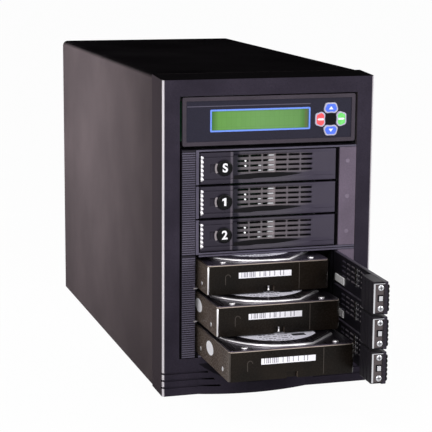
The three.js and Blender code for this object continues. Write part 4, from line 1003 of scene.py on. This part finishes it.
dark_plate = rolled_metal("dark_polished_steel", 0x625b5c, 0x494243, 0.24, 0.8)
disc_black = moulded_abs("polished_black_abs", 0x09090a, 0x101012, 0.22, depth=0.01, gloss=0.1)
mark_white = printed_ink("white_mark_ink", 0xeceaf0, 0xf6f5f8, 0.4)
plate_front, plate_back = door_face + 1.4, door_face + 11.9
plate_left, plate_right = -door_reach, -door_reach + 0.9
plate_half, flange_half = 11, 11.4
flange_left, flange_right = -door_reach - 0.3, -door_reach + 0.4
bolt_line = door_face + 6.4
bolt_low, bolt_high = bolt_line - 2.3, bolt_line + 2.3
bolt_half = 2.7
screw_reach = 8
letter_size, letter_weight, ink_depth = 9.6, 0.3, 0.02
disc_shape = turned_mesh("latch_disc", [(5.9, 0), (6.2, 0.25), (6.2, 0.7), (5.9, 0.95), (5.3, 1.0)], 36)
catch_shape = box_mesh("latch_catch", [
    ((-door_reach - 1.45, bolt_line - 1.5, -1.9), (-door_reach + 2.0, bolt_line + 1.5, 1.9))])
bar_shape = box_mesh("latch_bar", [
    ((-door_reach + 1.5, bolt_line - 1.6, -3.5), (disc_x + 2, bolt_line + 1.6, 3.5)),
    ((disc_x - 2, door_face - 0.5, -2), (disc_x + 2, bolt_line, 2))])
plate_shape = box_mesh("end_plate", [
    ((plate_left, plate_front, -plate_half), (plate_right, bolt_low, plate_half)),
    ((plate_left, bolt_high, -plate_half), (plate_right, plate_back, plate_half)),
    ((plate_left, bolt_low, bolt_half), (plate_right, bolt_high, plate_half)),
    ((plate_left, bolt_low, -plate_half), (plate_right, bolt_high, -bolt_half))])
flange_shape = box_mesh("end_plate_flange", [
    ((flange_left, plate_back - 1.3, -flange_half), (flange_right, plate_back, flange_half)),
    ((flange_left, plate_front + 1.5, 10.9), (flange_right, plate_back, flange_half))])
screw_head = turned_mesh("pan_head", [(2.4, 0), (2.45, 0.35), (1.9, 0.75), (1.0, 0.9)], 20)
cross_shape = box_mesh("cross_recess", [
    ((-1.5, -0.25, 0.72), (1.5, 0.25, 0.95)), ((-0.25, -1.5, 0.72), (0.25, 1.5, 0.95))])
figure_one = prism_mesh("figure_one", [
    (-0.7, -3.1), (1.1, -3.1), (1.1, 3.3), (-0.3, 3.3), (-2.2, 2.3), (-2.2, 0.8), (-0.7, 1.4)], 0.0, 0.03)
marks = {"upper_3": "S", "upper_2": "1", "upper_1": "2", "lower_3": "3", "lower_2": "4", "lower_1": "5"}
to_end = Matrix.Rotation(math.radians(-90), 4, "Y")
for tag, door_body, at in doors:
    latch_body = door_body.replace("door", "latch")
    fit("latch_disc_" + tag, disc_shape, disc_black, latch_body,
        at @ shift(disc_x, door_face - 0.3, 0) @ to_front, nodes=[door_body.replace("door", "door_latch")])
    for kind, mesh in (("latch_catch_", catch_shape), ("latch_bar_", bar_shape)):
        fit(kind + tag, mesh, bright_steel, latch_body, at, edge=0.2)
    fit("end_plate_" + tag, plate_shape, dark_plate, door_body, at,
        nodes=[door_body.replace("door", "door_end_plate")])
    fit("end_plate_flange_" + tag, flange_shape, bright_steel, door_body, at)
    for name, height in (("top_", screw_reach), ("low_", -screw_reach)):
        head_at = at @ shift(-door_reach, bolt_line - 0.3, height) @ to_end
        fit("end_screw_" + name + tag, screw_head, bright_steel, door_body, head_at)
        fit("end_screw_cross_" + name + tag, cross_shape, disc_black, door_body, head_at)
    mark_at = at @ shift(disc_x, door_face - 1.3, 0) @ to_front
    if marks[tag] == "1":
        fit("mark_" + tag, figure_one, mark_white, latch_body, mark_at)
        continue
    letter = bpy.data.curves.new("mark_" + tag, "FONT")
    letter.body = marks[tag]
    letter.size = letter_size * mm
    letter.align_x = letter.align_y = "CENTER"
    letter.extrude = ink_depth * mm
    letter.offset = letter_weight * mm
    letter.materials.append(mark_white)
    sign = add_object("mark_" + tag, letter)
    sign.matrix_world = mark_at
    settle(sign, latch_body)

# Drives
# Die-cast aluminium bodies with a glossy brown-black coat. Their sides are painted a paler brown, as
# painted light, and the front corner carries a painted highlight. A pressed steel lid, dark and polished,
# rises to a field whose rounded shoulder carries a painted highlight in near-white metal, with a pale
# paper label.

line_pitch, line_share = 5.2, 0.3
word_width, word_share = 2.6, 0.47
words_middle, words_half = 44.5, 13.5
bar_count, bar_share = 64.0, 0.58

cast_coat, add, place = new_finish("coated_die_casting")
cast = add("TexNoise", {"Vector": place, "Scale": every(1.6), "Detail": 3.0})
cloud = add("TexNoise", {"Vector": place, "Scale": every(22), "Detail": 2.0})
coat_tone = add("ValToRGB", {"Fac": cloud}, stops=[(0.3, 0x0f0b08), (0.7, 0x1a140f)])
# The sides are painted a paler brown: painted light.
rail_tone = add("ValToRGB", {"Fac": cloud}, stops=[(0.3, 0x50463f), (0.7, 0x62574f)])
facing = add("SeparateXYZ", {"Vector": add("NewGeometry").outputs["Normal"]})
sideways = add("ABSOLUTE", {0: facing})
rail = add("MapRange", {"Value": sideways, "From Min": 0.8, "From Max": 0.95})
tone = add("Mix", {0: rail, 6: coat_tone, 7: rail_tone})
sheen = add("MapRange", {"Value": cast, "To Min": 0.2, "To Max": 0.34})
relief = add("Bump", {"Height": cast, "Distance": 0.02 * mm, "Strength": 0.5})
add("BsdfPrincipled", {
    "Base Color": tone, "Roughness": sheen, "Normal": relief, "Specular IOR Level": 0.12})

label_paper, add, place = new_finish("printed_lid_label")
split = add("SeparateXYZ", {"Vector": place})
line_place = add("DIVIDE", {0: split.outputs["Y"], 1: line_pitch * mm})
line_fraction = add("FRACT", {0: line_place})
line = add("LESS_THAN", {0: line_fraction, 1: line_share})
word_place = add("CombineXYZ", {
    "X": add("DIVIDE", {0: split, 1: word_width * mm}),
    "Y": add("FLOOR", {0: line_place})})
word_noise = add("TexNoise", {"Vector": word_place, "Scale": 1.0, "Detail": 1.0})
word = add("GREATER_THAN", {0: word_noise, 1: word_share})
column = add("COMPARE", {0: split, 1: words_middle * mm, 2: words_half * mm})
words = add("MULTIPLY", {0: line, 1: word})
ink = add("MULTIPLY", {0: words, 1: column})
fibre = add("TexNoise", {"Vector": place, "Scale": every(0.8), "Detail": 2.0})
paper = add("ValToRGB", {"Fac": fibre}, stops=[(0.3, 0xe6e3f0), (0.7, 0xf1eff8)])
tone = add("Mix", {0: ink, 6: paper, 7: linear(0x5d5a68)})
add("BsdfPrincipled", {"Base Color": tone, "Roughness": 0.36, "Specular IOR Level": 0.5})

bar_paper, add, place = new_finish("striped_front_label")
split = add("SeparateXYZ", {"Vector": place.node.outputs["Generated"]})
bar = add("MULTIPLY", {0: split, 1: bar_count})
bar_step = add("FLOOR", {0: bar})
bar_noise = add("TexWhiteNoise", {"W": bar_step}, noise_dimensions="1D")
bar_dark = add("GREATER_THAN", {0: bar_noise, 1: bar_share})
middle_band = add("COMPARE", {0: split, 1: 0.475, 2: 0.425})
high_band = add("GREATER_THAN", {0: split.outputs["Z"], 1: 0.14})
ink = add("MULTIPLY", {0: middle_band, 1: high_band})
ink = add("MULTIPLY", {0: ink, 1: bar_dark})
tone = add("Mix", {0: ink, 6: linear(0xf6f4f9), 7: linear(0x827d8a)})
add("BsdfPrincipled", {"Base Color": tone, "Roughness": 0.45})

lid_steel = rolled_metal("dark_lid_steel", 0x5a525f, 0x443e49, 0.27, 1.0)
# Near-white metal for the screws and the pin, and for the painted highlights on the lid's shoulder and the
# casting's corner.
rim_metal = rolled_metal("polished_lid_rim", 0xf6f4f5, 0xe2dfe1, 0.3, 0.4)
gasket_edge = rolled_metal("pale_gasket_edge", 0xd2c5b9, 0xa3938a, 0.34, 0.5)
sticker_paper = printed_ink("plain_white_sticker", 0xf3f1f6, 0xfbfafc, 0.5)
block_ink = printed_ink("black_label_ink", 0x16141a, 0x232027, 0.5)
# A paler coat for the rubbed marks on the front, and for the dim painted highlight on the lowest drive's
# corner.
rubbed_coat = moulded_abs("rubbed_casting_edge", 0x3a3430, 0x4b443f, 0.35)


def inset(outline, distance):
    """Moves the sides of a convex outline inwards."""
    moved = []
    for spot, point in enumerate(outline):
        here = Vector(point)
        before = (here - Vector(outline[spot - 1])).normalized()
        after = (Vector(outline[(spot + 1) % len(outline)]) - here).normalized()
        turn = Vector((-before.y - after.y, before.x + after.x)) / (1 + before.dot(after))
        moved.append(tuple(here + turn * distance))
    return moved


def ring_mesh(name, outline, profile):
    """A closed ring that follows an outline: its profile is given as pairs of inset and height."""
    work = bmesh.new()
    loops = [[work.verts.new((x, y, height)) for x, y in inset(outline, inward)]
             for inward, height in profile]
    for spot, loop in enumerate(loops):
        bridge(work, loop, loops[(spot + 1) % len(loops)], spot < len(loops) - 2)
    bmesh.ops.recalc_face_normals(work, faces=work.faces)
    return as_mesh(work, name)


drive_wide, drive_long, drive_tall = 101.6, 147, 26.1
drive_sides = (0, drive_wide, 0, drive_long)
casting_top, lid_foot, plate_top = 22.9, 23.2, 24.2
field_top = drive_tall - 0.05
platter_y = 49.7
rim_radius, label_radius = 47.5, 36
label_left, label_right, label_back = 17, 80, 126
arch_middle = (16.7, 13.8)
corner_profile = [(0.5, 0.5), (0.75, 0.9), (0.75, 22.2), (0.5, 22.6)]
pin_profile = [(0.95, 1.0), (0.95, 1.5), (0.65, 1.7), (0.65, 4.3), (0.9, 4.45), (0.9, 4.9)]
rim_profile = [(0, plate_top - 0.05), (0.3, plate_top + 1.1), (1.2, field_top - 0.25),
               (3.2, field_top + 0.03), (3.2, plate_top - 0.05)]
field_edge = arc(drive_wide / 2, platter_y, rim_radius, 180, 270, 36)
field_edge += [(68.8, 2.2), (93.6, 27.2), (93.6, 139), (8, 139)]
label_edge = arc(drive_wide / 2, platter_y, label_radius, 200.1, 324.2, 30)
label_edge += [(label_right, label_back), (label_left, label_back)]
arch_edge = arc(*arch_middle, 2.3, 0, 180, 10) + [(14.4, 7.6), (14.9, 7.6)]
arch_edge += list(reversed(arc(*arch_middle, 1.8, 0, 180, 10)))
sticker_edge = [(x * 1.73, z) for x, z in arc(0, 0, 5.5, 0, 345, 23)]
block_edge = [(60, 25), (71, 25), (71, 31), (60, 31)]
lid_screws = ((14, 6), (88, 6), (4.4, 92), (97.2, 74), (6, 142.5), (95.6, 142.5))
side_screws = (16.9, 76.9, 118.5)
to_side = Matrix.Rotation(math.radians(90), 4, "Z") @ to_front
plate_edge, seal_edge = rounded_rectangle(drive_sides, 3, 0.7), rounded_rectangle(drive_sides, 3, 0.2)
lid_plate = prism_mesh("lid_plate", plate_edge, lid_foot, plate_top)
seal_strip = prism_mesh("lid_seal", seal_edge, casting_top - 0.1, lid_foot + 0.3)
raised_field = prism_mesh("lid_raised_field", inset(field_edge, 1.5), plate_top - 0.1, field_top)
lid_rim = ring_mesh("lid_rim", field_edge, rim_profile)
lid_label = prism_mesh("lid_label", label_edge, field_top - 0.02, drive_tall)
label_block = prism_mesh("label_block", block_edge, drive_tall - 0.01, drive_tall + 0.02)
front_label = box_mesh("front_label", [((25.6, -0.06, 12.3), (69.6, 0.2, 17.0))])
side_sticker = prism_mesh("side_sticker", sticker_edge, -0.06, 0.1)
front_arch = prism_mesh("casting_arch", arch_edge, -0.2, 0.12)
front_line = box_mesh("casting_line", [((76, -0.1, 1.2), (76.5, 0.2, 22.2))])
notch_pin = turned_mesh("notch_pin", pin_profile, 14)
dull_corner = turned_mesh("casting_corner_dull", corner_profile, 16)
bright_corner = turned_mesh("casting_corner_bright", corner_profile, 16)
lid_screw = turned_mesh("lid_screw", [(2.5, 0), (2.5, 0.7), (2.1, 1.1), (1.4, 1.25)], 20)
side_screw = turned_mesh("side_screw", [(1.9, 0), (1.9, 0.2), (1.4, 0.4)], 16)
for row in (1, 2, 3):
    body = "drive_%d" % row
    at = Matrix.Translation(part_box(body + "_casting")[0])
    finish_node(body + "_casting", cast_coat, 0.4)
    finish_node(body + "_board", solder_mask)
    fit(body + "_lid_plate", lid_plate, lid_steel, body, at, [body + "_lid"], 0.25)
    for name, mesh, finish in (
        ("_lid_seal", seal_strip, gasket_edge), ("_lid_raised_field", raised_field, lid_steel),
        ("_lid_rim", lid_rim, rim_metal), ("_lid_label", lid_label, label_paper),
        ("_label_block", label_block, block_ink),
    ):
        fit(body + name, mesh, finish, body, at)
    # The corner rod is a painted highlight, dim on the lowest drive.
    castings = [
        ("_front_label", front_label, bar_paper, Matrix()),
        ("_side_sticker", side_sticker, sticker_paper, shift(0, 51, 13.5) @ to_side),
        ("_casting_arch", front_arch, rubbed_coat, to_front),
        ("_casting_line", front_line, rubbed_coat, Matrix()),
        ("_notch_pin", notch_pin, rim_metal, shift(50.8, 1.3, 0)),
        ("_casting_corner", bright_corner, rim_metal, shift(0.65, 0.65, 0)),
    ]
    # On the lowest drive the corner's painted highlight is dim.
    if row == 1:  # the lowest drive shows no pin, and its corner is dull
        castings[4:] = [("_casting_corner", dull_corner, rubbed_coat, shift(0.65, 0.65, 0))]
    for name, mesh, finish, place in castings:
        fit(body + name, mesh, finish, body, at @ place)
    for spot, (x, y) in enumerate(lid_screws):
        fit("%s_lid_screw_%d" % (body, spot + 1), lid_screw, rim_metal, body,
            at @ shift(x, y, plate_top - 0.05))
    for spot, y in enumerate(side_screws):
        fit("%s_side_screw_%d" % (body, spot + 1), side_screw, rim_metal, body,
            at @ shift(0.1, y, 6.35) @ to_end)

# Bay tabs
# The ends of the plated steel ledges that guide the drives, folded from the rack's sheet. They are bare
# and bright, and stand beside the left stile between the rows.

tab_left, tab_lift = -62.6, 1.2
tab_width, tab_thickness, tab_depth, tab_tall = 3.2, 0.8, 12, 1.1
ledge_steel = rolled_metal("bright_ledge_steel", 0xdedbdd, 0xc4c1c4, 0.25, 0.6)
tab_shape = box_mesh("ledge_tab", [
    ((0, 0, 0), (tab_width, tab_thickness, tab_tall)),
    ((tab_width - tab_thickness, 0, 0), (tab_width, tab_depth, tab_tall))])
for row in (1, 2):
    fit("ledge_tab_%d" % row, tab_shape, ledge_steel, "tower",
        shift(tab_left, front_plane - 0.1, row_edge("lower", row) + tab_lift))

# Fans, mains inlet and switch
# Glass-filled polyamide and ABS mouldings in black, screwed or snapped into the sheet metal at the back.
# They are satin, with the faint flow marks of their gates.

black_nylon = moulded_abs("black_moulded_nylon", 0x141416, 0x222225, 0.4, grain=1.6)
for name in ("exhaust_fan_frame", "exhaust_fan_rotor", "power_supply_fan_rotor", "power_inlet",
             "power_switch_rocker"):
    finish_node(name, black_nylon, 0.25)
